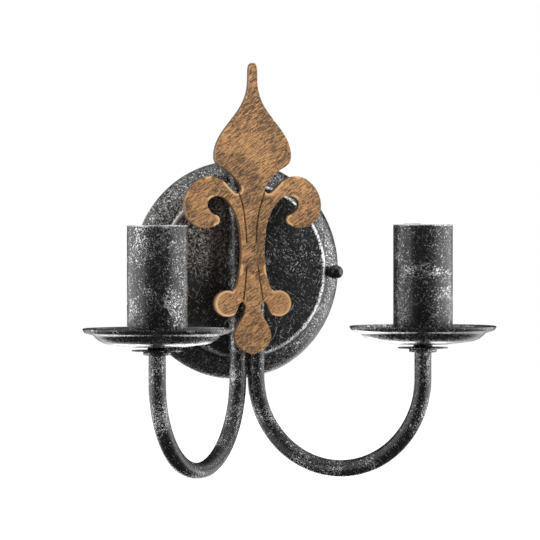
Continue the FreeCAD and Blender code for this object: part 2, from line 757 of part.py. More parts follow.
def make_seat_parts(side, sign):
    """What is clamped on the tube's end: collar, dished washer, drip pan, cup, and the nipple and nut."""
    collar = new_body(side + "_collar_ring")
    half = "collar_height / 2"
    turn(collar, [("nipple_hole", "0"), ("collar_radius - %s" % half, "0"),
                  ("collar_radius - %s" % half, "collar_height"), ("nipple_hole", "collar_height")],
         {1: "%s * half_circle_ease" % half})
    at_arm_end(collar, sign, "tube_top")

    dish = new_body(side + "_dished_washer")
    turn(dish, [("nipple_hole", "0"), ("dish_radius", "0"), ("dish_radius", "dish_sheet"),
                ("dish_boss_foot_radius", "dish_sheet"), ("dish_boss_radius", "dish_height"),
                ("nipple_hole", "dish_height")])
    at_arm_end(dish, sign, "dish_z")

    pan = new_body(side + "_drip_pan")
    solid = turn(pan, [
        ("0", "0"),
        ("pan_foot_radius", "0"),
        ("pan_bowl_radius", "pan_bowl_rise"),
        ("pan_crease_radius", "pan_crease_rise"),
        ("pan_flange_radius", "pan_flange_rise"),
        ("pan_radius", "pan_height"),
        ("0", "pan_height"),
    ], {2: "pan_wall_bend", 4: "pan_lip_bend"})
    hollow(pan, solid, "pan_sheet", UP)
    bore(pan, "hole", "nipple_hole", "pan_sheet + 2 * overrun", z="-(overrun)")
    at_arm_end(pan, sign, "pan_z")

    cup = new_body(side + "_socket_cup")
    solid = turn(cup, [
        ("0", "0"),
        ("lock_washer_radius", "0"),
        ("cup_radius", "cup_corner_radius"),
        ("cup_radius", "cup_height"),
        ("0", "cup_height"),
    ], {1: "cup_corner_radius * half_circle_ease"})
    hollow(cup, solid, "cup_sheet", UP)
    bore(cup, "hole", "nipple_hole", "cup_sheet + 2 * overrun", z="-(overrun)")
    at_arm_end(cup, sign, "cup_z")

    nipple = new_body(side + "_stem_nipple")
    foot = "-(nipple_in_tube)"
    head = "base_z - tube_top + holder_neck_height - nipple_setback"
    turn(nipple, [("nipple_bore_radius", foot), ("nipple_radius", foot),
                  ("nipple_radius", head), ("nipple_bore_radius", head)])
    at_arm_end(nipple, sign, "tube_top")

    washer = new_body(side + "_lock_washer")
    turn(washer, [("nipple_hole", "0"), ("lock_washer_radius", "0"),
                  ("lock_washer_radius", "lock_washer_sheet"), ("nipple_hole", "lock_washer_sheet")])
    at_arm_end(washer, sign, "cup_floor")

    hexagon = doc.addObject("Part::Prism", side + "_hexagon")
    hexagon.Polygon = 6
    bind(hexagon, "Circumradius", "(nipple_hole + nut_wall) * 2 / sqrt(3)")
    bind(hexagon, "Height", "nut_height")
    hole = cylinder(side + "_nut_hole", "nipple_hole", "nut_height + 2 * overrun", z="-(overrun)")
    nut = add_part(cut(side + "_lock_nut", hexagon, [hole]), side + "_lock_nut")
    at_arm_end(nut, sign, "nut_z")


def make_lampholder(side, sign):
    """Lampholder for a 27 mm screw cap: base, contact carrier, skirt, screw shell and centre contact."""
    base = new_body(side + "_lampholder_base")
    wall = "holder_wall"
    step = "holder_base_height - holder_base_overlap"
    turn(base, [
        ("nipple_hole", "0"),
        ("holder_neck_radius", "0"),
        ("holder_neck_radius", "holder_neck_height - %s" % wall),
        ("base_radius", "%s - holder_base_shoulder" % step),
        ("base_radius", "holder_base_height"),
        ("base_radius - %s" % wall, "holder_base_height"),
        ("base_radius - %s" % wall, step),
        ("holder_neck_radius - %s / 2" % wall, "holder_neck_height"),
        ("nipple_hole", "holder_neck_height"),
    ])
    at_arm_end(base, sign, "base_z")

    carrier = new_body(side + "_contact_carrier")
    core_hole = "lead_radius + hole_clearance"
    floor = "carrier_height - contact_recess_depth"
    turn(carrier, [
        (core_hole, "0"),
        ("base_radius", "0"),
        ("base_radius", "carrier_height - carrier_chamfer"),
        ("base_radius - carrier_chamfer", "carrier_height"),
        ("contact_recess_radius", "carrier_height"),
        ("contact_recess_radius", floor),
        (core_hole, floor),
    ])
    at_arm_end(carrier, sign, "base_top")

    skirt = new_body(side + "_lampholder_skirt")
    outer = "holder_radius"
    inner = "holder_radius - holder_wall"
    turn(skirt, [
        (inner, "0"),
        (outer, "0"),
        (outer, "holder_height"),
        ("holder_lip_radius", "holder_height"),
        ("holder_lip_radius", "holder_height - holder_lip_height"),
        (inner, "holder_height - holder_lip_height"),
    ])
    at_arm_end(skirt, sign, "skirt_z")

    shell = new_body(side + "_screw_shell")
    turn(shell, [("shell_bore_radius", "0"), ("shell_bore_radius + shell_sheet", "0"),
                 ("shell_bore_radius + shell_sheet", "shell_length"), ("shell_bore_radius", "shell_length")])
    at_arm_end(shell, sign, "shell_z")

    contact = new_body(side + "_centre_contact")
    turn(contact, [("0", "0"), ("contact_radius", "0"), ("contact_radius", "contact_height / 3"),
                   ("contact_radius / 2", "contact_height"), ("0", "contact_height")])
    at_arm_end(contact, sign, "contact_z")


# ---------------------------------------------------------------- wiring

def quarter(start, heading, toward, radius):
    """Quarter turn from one heading to another. Gives the arc and where it ends."""
    finish = start + heading * radius + toward * radius
    middle = start + heading * (radius * ROOT_HALF) + toward * (radius * (1 - ROOT_HALF))
    return Part.Arc(start, middle, finish).toShape(), finish


def make_lead(side, sign):
    """Lead in the arm: from the contact carrier down the nipple, round the bend, up the rear leg, out
    through its bush and down to the terminal block."""
    vector = FreeCAD.Vector
    turn_radius = value("lead_bend_radius")
    front = vector(sign * value("front_x"), -value("front_depth"), 0)
    rear = vector(sign * value("leg_x"), -value("tube_depth"), 0)
    low = UP * -value("bend_drop")
    start = front + UP * value("contact_z")
    bend_middle = (front + rear) / 2 + low - UP * value("bend_radius")
    rise_end = rear + UP * (value("cable_level") - turn_radius)
    down = UP * -1
    edges = [
        Part.LineSegment(start, front + low).toShape(),
        Part.Arc(front + low, bend_middle, rear + low).toShape(),
        Part.LineSegment(rear + low, rise_end).toShape(),
    ]
    out_arc, out_end = quarter(rise_end, UP, BACK, turn_radius)
    fall_start = vector(out_end.x, -value("pole_d") - turn_radius, out_end.z)
    fall_arc, fall_end = quarter(fall_start, BACK, down, turn_radius)
    edges += [
        out_arc,
        Part.LineSegment(out_end, fall_start).toShape(),
        fall_arc,
        Part.LineSegment(fall_end, vector(fall_end.x, fall_end.y, value("block_top"))).toShape(),
    ]
    rod_along(side + "_lead", edges, start, down, value("lead_radius"))

    bush = new_body(side + "_cable_bush")
    length = "arm_plate_sheet + canopy_sheet"
    turn(bush, [
        ("bush_bore", "0"),
        ("bush_radius", "0"),
        ("bush_radius", length),
        ("bush_radius + bush_flange_width", length),
        ("bush_radius + bush_flange_width", "%s + bush_flange_sheet" % length),
        ("bush_bore", "%s + bush_flange_sheet" % length),
    ], plane="XY_Plane")
    place(bush, "%d * leg_x" % sign, "-(canopy_depth + arm_plate_sheet)", "cable_level")


def make_terminal_block():
    """Three-pole block on the bracket, with brass inserts, clamping screws and its fixing screw."""
    face = "-(block_face)"
    before = "-(block_face + overrun)"
    block = box("block_blank", "block_width", "block_depth", "block_height",
                "-(block_width / 2)", face, "-(block_height / 2)")
    tools = []
    inserts = []
    screws = []
    for pole in (-1, 0, 1):
        x = "%d * pole_spacing" % pole
        name = "pole_%d" % (pole + 2)
        tools.append(cylinder(name + "_bore", "insert_diameter / 2 + running_clearance",
                              "block_height + 2 * overrun", x, "-(pole_d)",
                              "-(block_height / 2 + overrun)"))
        tube = cylinder(name + "_insert_blank", "insert_diameter / 2", "block_height - 2 * insert_inset",
                        x, "-(pole_d)", "-(block_height / 2 - insert_inset)")
        hole = cylinder(name + "_insert_hole", "insert_bore / 2", "block_height", x,
                        "-(pole_d)", "-(block_height / 2)")
        inserts.append(cut(name + "_insert", tube, [hole]))
        for level, side in (("upper", 1), ("lower", -1)):
            height = "%d * block_height / 4" % side
            screw_name = "%s_%s_screw" % (name, level)
            screw_face = "%s + terminal_screw_recess" % face
            tools.append(cylinder(screw_name + "_hole", "terminal_screw_diameter / 2 + running_clearance",
                                  "block_depth / 2 + overrun", x, before, height, (0, 1, 0)))
            stud = cylinder(screw_name + "_blank", "terminal_screw_diameter / 2",
                            "block_depth / 2 - insert_diameter / 2 - terminal_screw_recess", x,
                            screw_face, height, (0, 1, 0))
            slot = driver_slot(screw_name + "_slot", "terminal_screw_diameter", x, screw_face, height,
                               "terminal_slot_width", "terminal_slot_depth")
            screws.append(cut(screw_name, stud, [slot]))
    between = "-(pole_spacing / 2)"
    shank = cylinder("block_screw_shank", "block_screw_diameter / 2 - running_clearance",
                     "block_face - block_screw_tip_gap", between, "%s + block_screw_tip_gap" % face, "0",
                     (0, 1, 0))
    head = cylinder("block_screw_top", "block_screw_head / 2", "block_screw_head_height", between, face,
                    "0", (0, 1, 0))
    tools.append(cylinder("block_screw_hole", "block_screw_diameter / 2", "block_depth + 2 * overrun",
                          between, before, "0", (0, 1, 0)))
    tools.append(cylinder("block_screw_recess", "block_screw_head / 2 + running_clearance",
                          "block_screw_head_height + overrun", between, before, "0", (0, 1, 0)))
    add_part(cut("terminal_block", block, tools), "terminal_block")
    group("terminal_inserts", inserts)
    group("terminal_screws", screws)
    fixing = doc.addObject("Part::Fuse", "block_screw_blank")
    fixing.Base = shank
    fixing.Tool = head
    slot = driver_slot("block_screw_slot", "block_screw_head", between, face, "0",
                       "block_screw_slot_width", "block_screw_slot_depth")
    add_part(cut("terminal_block_screw", fixing, [slot]), "terminal_block_screw")


def make_earth():
    """Earth screw in the bracket, with a tag and the short lead from the block's third pole."""
    tag_face = "-(bracket_sheet + earth_tag_sheet)"
    disc = cylinder("earth_tag_disc", "earth_screw_head / 2", "earth_tag_sheet", "earth_offset",
                    "-(bracket_sheet)", "0", (0, -1, 0))
    tongue = box("earth_tag_tongue", "earth_lead_diameter", "earth_tag_sheet", "earth_screw_head",
                 "earth_offset - earth_lead_diameter / 2", tag_face, "-(earth_screw_head)")
    whole = doc.addObject("Part::Fuse", "earth_tag_blank")
    whole.Base = disc
    whole.Tool = tongue
    hole = cylinder("earth_tag_hole", "earth_screw_diameter / 2 + fit_clearance",
                    "earth_tag_sheet + 2 * overrun", "earth_offset", "-(bracket_sheet - overrun)", "0",
                    (0, -1, 0))
    add_part(cut("earth_tag", whole, [hole]), "earth_tag")
    shank = cylinder("earth_shank", "earth_screw_diameter / 2 - running_clearance",
                     "bracket_sheet + earth_tag_sheet", "earth_offset", "0", "0", (0, -1, 0))
    head = cylinder("earth_head", "earth_screw_head / 2", "earth_screw_head_height", "earth_offset",
                    tag_face, "0", (0, -1, 0))
    screw = doc.addObject("Part::Fuse", "earth_screw_blank")
    screw.Base = shank
    screw.Tool = head
    slot = driver_slot("earth_slot", "earth_screw_head", "earth_offset",
                       "%s - earth_screw_head_height" % tag_face, "0",
                       "earth_screw_slot_width", "earth_screw_slot_depth")
    add_part(cut("earth_screw", screw, [slot]), "earth_screw")

    radius = value("earth_lead_diameter / 2")
    depth = value("bracket_sheet + earth_tag_sheet") + radius
    foot = -value("block_height / 2")
    low = foot - value("earth_lead_diameter")
    top = -value("earth_screw_head / 2 + earth_lead_gap")
    block_x = value("pole_spacing")
    tag_x = value("earth_offset")
    bend = (tag_x - block_x) / 2
    edges = [
        Part.LineSegment(FreeCAD.Vector(block_x, -depth, foot),
                         FreeCAD.Vector(block_x, -depth, low)).toShape(),
        Part.Arc(FreeCAD.Vector(block_x, -depth, low),
                 FreeCAD.Vector(block_x + bend, -depth, low - bend),
                 FreeCAD.Vector(tag_x, -depth, low)).toShape(),
        Part.LineSegment(FreeCAD.Vector(tag_x, -depth, low), FreeCAD.Vector(tag_x, -depth, top)).toShape(),
    ]
    rod_along("earth_lead", edges, FreeCAD.Vector(block_x, -depth, foot), UP * -1, radius)


# ---------------------------------------------------------------- the whole lamp

make_canopy()
make_wall_bracket()
make_rim_screws()
make_arm_plate()
make_arm_screws()
make_ornament()
make_spacers()
for arm_side, arm_sign in SIDES.items():
    make_arm_tube(arm_side, arm_sign)
    make_seat_parts(arm_side, arm_sign)
    make_lampholder(arm_side, arm_sign)
    make_lead(arm_side, arm_sign)
make_terminal_block()
make_earth()
doc.recompute()

for thing in doc.Objects:
    if {"Invalid", "Error"} & set(thing.State):
        raise SystemExit("failed: %s %s" % (thing.Label, thing.getStatusString()))
os.makedirs("parts", exist_ok=True)
for part in parts:
    if part.Shape.isNull() or not part.Shape.isValid():
        raise SystemExit("bad shape: " + part.Label)
for part in parts:
    part.Shape.exportStep("parts/%s.step" % part.Label)
print("%d parts" % len(parts))
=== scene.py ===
import json
import math

import bmesh
import bpy
from mathutils import Matrix, Vector
from mathutils.kdtree import KDTree


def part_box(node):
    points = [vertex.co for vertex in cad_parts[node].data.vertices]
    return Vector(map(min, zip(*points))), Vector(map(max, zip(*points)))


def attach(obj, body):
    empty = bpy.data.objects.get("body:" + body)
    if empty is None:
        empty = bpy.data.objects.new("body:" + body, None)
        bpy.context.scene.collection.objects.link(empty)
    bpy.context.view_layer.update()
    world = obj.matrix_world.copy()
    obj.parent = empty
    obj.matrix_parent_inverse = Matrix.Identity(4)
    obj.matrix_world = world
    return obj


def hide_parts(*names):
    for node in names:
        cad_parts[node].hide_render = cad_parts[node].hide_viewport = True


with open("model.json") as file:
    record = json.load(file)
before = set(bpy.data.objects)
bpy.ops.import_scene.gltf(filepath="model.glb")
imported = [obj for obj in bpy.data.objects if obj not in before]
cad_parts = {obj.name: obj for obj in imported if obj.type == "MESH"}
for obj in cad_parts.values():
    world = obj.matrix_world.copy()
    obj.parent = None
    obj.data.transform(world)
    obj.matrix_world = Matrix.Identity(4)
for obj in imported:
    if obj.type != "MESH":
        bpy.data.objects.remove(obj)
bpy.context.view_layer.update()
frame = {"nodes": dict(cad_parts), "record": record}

# Double arm wall sconce. The wall is the plane Y = 0, the front is -Y and +Z is up.
# Blender works in metres. The sizes of shapes and the widths of brush marks are in millimetres.

MM = 0.001
BODY = "lamp"
IRON = "aged_black_iron"
SIDES = {"left": -1, "right": 1}
UP = Vector((0, 0, 1))


# ---------------------------------------------------------------- camera

VIEW_TURN = math.radians(-19.53)
VIEW_RISE = 1.0
VIEW_DISTANCE = 4.0
VIEW_AIM = Vector((0.02327, -0.00825, 0.0))
VIEW_LENS = 370.8
VIEW_NEAREST = 0.1
VIEW_FARTHEST = 50.0


def from_camera(turn, rise=0.0):
    """Direction from the lamp, turned to the right from the camera's and raised, in degrees."""
    around = VIEW_TURN + math.radians(turn)
    up = math.radians(rise)
    return Vector((math.sin(around) * math.cos(up), -math.cos(around) * math.cos(up), math.sin(up)))


def add_camera():
    """The photograph's view, from the left of the front and a little above."""
    lens = bpy.data.cameras.new("camera")
    lens.lens = VIEW_LENS
    lens.clip_start = VIEW_NEAREST
    lens.clip_end = VIEW_FARTHEST
    camera = bpy.data.objects.new("camera", lens)
    bpy.context.scene.collection.objects.link(camera)
    camera.location = from_camera(0, VIEW_RISE) * VIEW_DISTANCE
    camera.rotation_euler = (VIEW_AIM - camera.location).to_track_quat("-Z", "Y").to_euler()
    bpy.context.scene.camera = camera


# ---------------------------------------------------------------- finishes

LACQUER_DARK = (0.007, 0.0067, 0.0065, 1)
LACQUER_LIGHT = (0.015, 0.014, 0.0135, 1)
LACQUER_DUSTED = (0.070, 0.047, 0.031, 1)
SILVER_DULL = (0.36, 0.36, 0.358, 1)
SILVER_BRIGHT = (0.85, 0.85, 0.845, 1)
SILVER_DUSTED = (0.60, 0.50, 0.42, 1)
SILVER_ROUGHNESS = 0.38
FLECK_START = 1.01
FLECK_FULL = 1.12
CURL_SHARE = 0.5
WEAR_AND_LIGHT_SHARE = 0.55
DUST_SHARE = 0.24
DUST_SPOT = (-0.030, -0.0165, 0.026)
DUST_REACH = 0.046

COPPER_DULL = (0.69, 0.362, 0.142, 1)
COPPER_BRIGHT = (0.82, 0.443, 0.185, 1)
# Colour of the painted highlight along the ornament's rim.
COPPER_PAINTED_HIGHLIGHT = (0.95, 0.62, 0.33, 1)
COPPER_SIDE = (0.20, 0.108, 0.052, 1)
STROKE_BROWN = (0.048, 0.028, 0.018, 1)
EDGE_BROWN = (0.085, 0.048, 0.026, 1)
STROKE_COVER = 0.90

KNOB_DARK = (0.008, 0.008, 0.008, 1)
KNOB_LIGHT = (0.016, 0.016, 0.016, 1)
EARTH_GREEN = (0.05, 0.26, 0.05, 1)
EARTH_YELLOW = (0.65, 0.55, 0.04, 1)

MARKS_PER_METRE = 1000
MARK_DEPTH_SCALE = 400
SCRATCH_EASE = 0.06


class Finish:
    """A material's nodes, with short calls for the patterns that the finishes share."""

    def __init__(self, name):
        self.material = bpy.data.materials.new(name)
        self.material.use_nodes = True
        self.tree = self.material.node_tree
        self.shader = self.tree.nodes["Principled BSDF"]
        self.place = self.add("ShaderNodeTexCoord").outputs["Object"]

    def add(self, kind, **settings):
        node = self.tree.nodes.new(kind)
        for key, setting in settings.items():
            setattr(node, key, setting)
        return node

    def join(self, source, target):
        self.tree.links.new(source, target)

    def put(self, node, inputs):
        """Set or link a node's inputs, by name or number."""
        for key, given in inputs.items():
            if isinstance(given, bpy.types.NodeSocket):
                self.join(given, node.inputs[key])
            else:
                node.inputs[key].default_value = given

    def moved(self, scale=(1, 1, 1), turn=(0, 0, 0), source=None):
        """A place on the piece, turned and stretched."""
        node = self.add("ShaderNodeMapping")
        self.put(node, {"Vector": source or self.place, "Rotation": turn, "Scale": scale})
        return node.outputs["Vector"]

    def noise(self, scale, detail=2.0, roughness=0.5, distortion=0.0, source=None):
        node = self.add("ShaderNodeTexNoise")
        self.put(node, {"Vector": source or self.place, "Scale": scale, "Detail": detail,
                        "Roughness": roughness, "Distortion": distortion})
        return node.outputs["Fac"]

    def math(self, operation, first, second=0.0, third=0.0):
        node = self.add("ShaderNodeMath", operation=operation)
        self.put(node, {0: first, 1: second, 2: third})
        return node.outputs[0]

    def stack(self, base, layer, share):
        """A pattern with a share of another added to it."""
        return self.math("MULTIPLY_ADD", layer, share, base)

    def span(self, source, low, high, to_low=0.0, to_high=1.0):
        """Spread low to high of a pattern over to_low to to_high, eased at both ends."""
        node = self.add("ShaderNodeMapRange", interpolation_type="SMOOTHSTEP")
        self.put(node, {"Value": source, "From Min": low, "From Max": high, "To Min": to_low,
                        "To Max": to_high})
        return node.outputs["Result"]

    def mix(self, factor, first, second):
        node = self.add("ShaderNodeMix", data_type="RGBA")
        self.put(node, {0: factor, 6: first, 7: second})
        return node.outputs[2]

    def bump(self, height, distance, strength, under=None):
        """Relief of a height pattern, laid over another relief if one is given."""
        node = self.add("ShaderNodeBump")
        self.put(node, {"Height": height, "Distance": distance, "Strength": strength})
        if under is not None:
            self.join(under, node.inputs["Normal"])
        return node.outputs["Normal"]

    def attribute(self, name):
        return self.add("ShaderNodeAttribute", attribute_name=name).outputs["Fac"]


def squiggles(finish, scale, width):
    """Short curled lines, 1 on a line and 0 between them."""
    swirl = finish.noise(scale, roughness=0.55, distortion=1.4)
    curls = finish.math("ABSOLUTE", finish.math("SUBTRACT", swirl, 0.5))
    return finish.span(curls, 0.0, width, 1.0, 0.0)


def brush_marks(finish, turn, length, width):
    """Streaks drawn out along one way, turned about the front direction. Lengths in millimetres."""
    along = finish.moved(turn=(0, math.radians(turn), 0))
    stretch = (MARKS_PER_METRE / length, MARK_DEPTH_SCALE, MARKS_PER_METRE / width)
    return finish.noise(1.0, distortion=0.3, source=finish.moved(scale=stretch, source=along))


def scratches(finish, turn, length, width, rarity):
    """Fine straight marks of a brush: the highest streaks of brush marks, past their rarity."""
    return finish.span(brush_marks(finish, turn, length, width), rarity, rarity + SCRATCH_EASE)


def black_iron(name, wear=0.0, brushed=0.15, gloss=0.26, patchy=0.24, shine=0.82, overspray=(),
               lacquer_ior=1.42):
    """Black lacquer with a dry brush of silver: short curled flecks, thicker in some places.

    Wear adds flecks, brushed adds straight scratches, gloss is the lacquer's roughness, patchy parts
    thick and thin places and shine is how metallic the flecks are. Overspray lists spots of copper
    dust, each with its reach, in metres.
    """
    finish = Finish(name)
    cover = finish.noise(42, detail=3.0, roughness=0.6, distortion=0.5)
    thick = finish.span(cover, 0.42, 0.64)
    grain = finish.noise(820, roughness=0.6, distortion=0.8)
    curls = squiggles(finish, 400, 0.07)
    relief = finish.stack(grain, curls, CURL_SHARE)
    score = finish.stack(relief, thick, patchy)
    # Extra flecks from the wear_and_painted_light attribute: wear in places, painted highlights on rims
    # and painted shade low on the arm bends.
    score = finish.stack(score, finish.attribute("wear_and_painted_light"), WEAR_AND_LIGHT_SHARE)
    lacquer = finish.mix(cover, LACQUER_DARK, LACQUER_LIGHT)
    silver_tone = finish.mix(grain, SILVER_DULL, SILVER_BRIGHT)
    for spot, reach in overspray:
        away = finish.add("ShaderNodeVectorMath", operation="DISTANCE")
        finish.put(away, {0: finish.place, 1: spot})
        near = finish.span(away.outputs["Value"], reach * 0.2, reach, 1.0, 0.0)
        score = finish.stack(score, near, DUST_SHARE)
        dusting = finish.math("MULTIPLY", near, finish.span(grain, 0.35, 0.75))
        lacquer = finish.mix(dusting, lacquer, LACQUER_DUSTED)
        silver_tone = finish.mix(dusting, silver_tone, SILVER_DUSTED)
    flecks = finish.span(score, FLECK_START - wear, FLECK_FULL - wear)
    rising = scratches(finish, turn=62, length=12, width=1.3, rarity=0.66)
    falling = scratches(finish, turn=-38, length=9, width=1.2, rarity=0.67)
    marks = finish.math("MULTIPLY", finish.math("MAXIMUM", rising, falling), brushed)
    silver = finish.math("MAXIMUM", flecks, marks)
    bare = finish.math("MINIMUM", finish.math("MULTIPLY", silver, 4.0), 1.0)
    swell = finish.bump(finish.noise(160), distance=0.00016, strength=0.5)
    finish.put(finish.shader, {
        "Base Color": finish.mix(silver, lacquer, silver_tone),
        "Metallic": finish.math("MULTIPLY", bare, shine),
        "Roughness": finish.math("MULTIPLY_ADD", bare, SILVER_ROUGHNESS - gloss, gloss),
        "IOR": lacquer_ior,
        "Normal": finish.bump(relief, distance=0.00010, strength=0.9, under=swell),
    })
    return finish.material


def copper_patina(front):
    """Tan copper paint under fine dark brush strokes, with a painted highlight along the rim, a dark
    edge and dark sides.

    Front is the level of the ornament's face, in metres. The edge_distance attribute is in millimetres.
    """
    finish = Finish("copper_patina")
    edge = finish.attribute("edge_distance")
    cloud = finish.noise(30, detail=3.0, roughness=0.6, distortion=0.5)
    grain = finish.noise(760, roughness=0.6, distortion=0.5)
    heavy = finish.span(cloud, 0.40, 0.60)
    long_marks = brush_marks(finish, turn=30, length=6, width=0.30)
    cross_marks = brush_marks(finish, turn=46, length=5, width=0.36)
    score = finish.stack(long_marks, grain, 0.45)
    score = finish.stack(score, heavy, 0.10)
    score = finish.stack(score, cross_marks, 0.50)
    strokes = finish.span(score, 0.94, 1.07)
    inner = finish.span(finish.stack(edge, cloud, 1.6), 2.0, 3.4)
    dark = finish.math("MULTIPLY", finish.math("MULTIPLY", strokes, STROKE_COVER), inner)
    copper = finish.mix(cloud, COPPER_DULL, COPPER_BRIGHT)
    # Painted highlight: lighter copper within about 1.7 mm of the rim.
    copper = finish.mix(finish.span(edge, 0.8, 1.7, 0.8, 0.0), copper, COPPER_PAINTED_HIGHLIGHT)
    copper = finish.mix(finish.span(edge, 0.25, 0.55, 0.85, 0.0), copper, EDGE_BROWN)
    face = finish.mix(dark, copper, STROKE_BROWN)
    depth = finish.add("ShaderNodeSeparateXYZ")
    finish.join(finish.place, depth.inputs[0])
    deep = finish.span(depth.outputs["Y"], front + 0.0007, front + 0.0020)
    side = finish.mix(strokes, COPPER_SIDE, EDGE_BROWN)
    finish.put(finish.shader, {
        "Base Color": finish.mix(deep, face, side),
        "Metallic": 0.2,
        "Roughness": finish.math("MULTIPLY_ADD", dark, 0.15, 0.42),
        "Normal": finish.bump(finish.math("ADD", strokes, grain), distance=0.00004, strength=0.8),
    })
    return finish.material


def gloss_black():
    """Lightly scuffed gloss enamel."""
    finish = Finish("gloss_black")
    scuffs = finish.noise(900, detail=3.0, roughness=0.6, distortion=1.0)
    finish.put(finish.shader, {
        "Base Color": finish.mix(scuffs, KNOB_DARK, KNOB_LIGHT),
        "Roughness": finish.span(scuffs, 0.3, 0.7, 0.16, 0.3),
        "Normal": finish.bump(finish.noise(300), distance=0.00008, strength=0.5),
    })
    return finish.material


def plated(name, low, high, roughness):
    """Plated or bare metal with a slightly uneven tone and fine handling marks."""
    finish = Finish(name)
    cloud = finish.noise(90, detail=3.0, roughness=0.6, distortion=0.6)
    along = finish.moved(scale=(700, 140, 700))
    marks = finish.noise(1.0, detail=3.0, roughness=0.6, distortion=0.4, source=along)
    finish.put(finish.shader, {
        "Base Color": finish.mix(cloud, low, high),
        "Metallic": 1.0,
        "Roughness": finish.span(marks, 0.25, 0.75, roughness * 0.75, roughness * 1.35),
        "Normal": finish.bump(marks, distance=0.00003, strength=0.6),
    })
    return finish.material


def moulded(name, low, high, roughness, grain=500):
    """Moulded plastic, ceramic or rubber with faint clouding and a fine texture."""
    finish = Finish(name)
    cloud = finish.noise(60, detail=3.0, roughness=0.6)
    skin = finish.noise(grain)
    finish.put(finish.shader, {
        "Base Color": finish.mix(finish.span(cloud, 0.3, 0.7), low, high),
        "Roughness": finish.span(skin, 0.3, 0.7, roughness * 0.85, roughness * 1.2),
        "Normal": finish.bump(skin, distance=0.00004, strength=0.6),
    })
    return finish.material


def striped_sheath():
    """Earth lead: green with yellow stripes along it."""
    finish = Finish("earth_sheath")
    wave = finish.add("ShaderNodeTexWave", wave_type="BANDS", bands_direction="X")
    finish.put(wave, {"Vector": finish.place, "Scale": 130.0, "Distortion": 0.3})
    stripes = finish.span(wave.outputs["Fac"], 0.42, 0.58)
    finish.put(finish.shader, {
        "Base Color": finish.mix(stripes, EARTH_GREEN, EARTH_YELLOW),
        "Roughness": 0.42,
        "Normal": finish.bump(finish.noise(700), distance=0.00003, strength=0.6),
    })
    return finish.material


FINISHES = {
    "aged_black_iron": black_iron("aged_black_iron"),
    "tube_iron": black_iron("tube_iron", shine=0.35),
    "pan_iron": black_iron("pan_iron", wear=-0.05, brushed=0.1, gloss=0.16, lacquer_ior=1.5),
    "canopy_iron": black_iron("canopy_iron", wear=-0.055, brushed=0.45, gloss=0.24, patchy=0.10,
                              overspray=[(DUST_SPOT, DUST_REACH)]),
    "copper_patina": copper_patina(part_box("fleur_ornament")[0].y),
    "black_knob": gloss_black(),
    "zinc_steel": plated("zinc_steel", (0.52, 0.53, 0.55, 1), (0.66, 0.67, 0.68, 1), 0.3),
    "holder_plastic": moulded("holder_plastic", (0.74, 0.72, 0.68, 1), (0.82, 0.81, 0.78, 1), 0.3),
    "ceramic": moulded("ceramic", (0.78, 0.75, 0.70, 1), (0.84, 0.82, 0.78, 1), 0.16, grain=200),
    "nickel_shell": plated("nickel_shell", (0.58, 0.55, 0.48, 1), (0.70, 0.67, 0.60, 1), 0.22),
    "brass": plated("brass", (0.60, 0.42, 0.16, 1), (0.74, 0.55, 0.26, 1), 0.28),
    "bush_rubber": moulded("bush_rubber", (0.018, 0.018, 0.018, 1), (0.035, 0.035, 0.035, 1), 0.6,
                           grain=800),
    "block_plastic": moulded("block_plastic", (0.72, 0.70, 0.62, 1), (0.80, 0.79, 0.73, 1), 0.38),
    "lead_sheath": moulded("lead_sheath", (0.66, 0.65, 0.61, 1), (0.76, 0.75, 0.72, 1), 0.45,
                           grain=600),
    "earth_sheath": striped_sheath(),
}


# ---------------------------------------------------------------- shaping

MERGE_REACH = 1e-6
COPY_MERGE_REACH = 2e-6
COPY_FLATNESS = math.radians(0.4)
CORNER_STEPS = 5
SHEET_EDGE_ANGLE = 50


def finish_piece(shape, name, slot, stands_for=(), body=BODY, sharp=35.0, finish=None):
    """Close and smooth a shape and make it a piece of the lamp, in place of the nodes it stands for.

    Edges that turn by more than sharp degrees stay crisp. Finish names a material other than the slot's.
    """
    bmesh.ops.remove_doubles(shape, verts=shape.verts, dist=MERGE_REACH)
    bmesh.ops.recalc_face_normals(shape, faces=shape.faces)
    mesh = bpy.data.meshes.new(name)
    shape.to_mesh(mesh)
    shape.free()
    mesh.shade_smooth()
    mesh.set_sharp_from_angle(angle=math.radians(sharp))
    mesh.materials.append(FINISHES[finish or slot])
    piece = bpy.data.objects.new(name, mesh)
    bpy.context.scene.collection.objects.link(piece)
    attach(piece, body)
    if stands_for:
        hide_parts(*stands_for)


def draw_profile(shape, corners, closing=None):
    """Draw a profile of (radius, height, rounding) in millimetres as edges beside the axis.

    A closing point, on the hollow side, leaves the profile open: it only helps to round the corners.
    """
    verts = [shape.verts.new((radius * MM, 0, height * MM)) for radius, height, _ in corners]
    extra = [shape.verts.new((closing[0] * MM, 0, closing[1] * MM))] if closing else []
    shape.faces.new(verts + extra)
    for vert, (_, _, rounding) in zip(verts, corners):
        if rounding:
            bmesh.ops.bevel(shape, geom=[vert], offset=rounding * MM, affect="VERTICES",
                            segments=CORNER_STEPS, profile=0.5, material=-1)
    if extra:
        bmesh.ops.delete(shape, geom=extra, context="VERTS")
    else:
        bmesh.ops.delete(shape, geom=shape.faces[:], context="FACES_ONLY")


def spin_round(shape, steps):
    """Turn a profile once round the upright axis."""
    bmesh.ops.spin(shape, geom=shape.verts[:] + shape.edges[:], cent=(0, 0, 0), axis=(0, 0, 1),
                   dvec=(0, 0, 0), angle=math.tau, steps=steps, use_merge=True)
    bmesh.ops.remove_doubles(shape, verts=shape.verts, dist=MERGE_REACH)


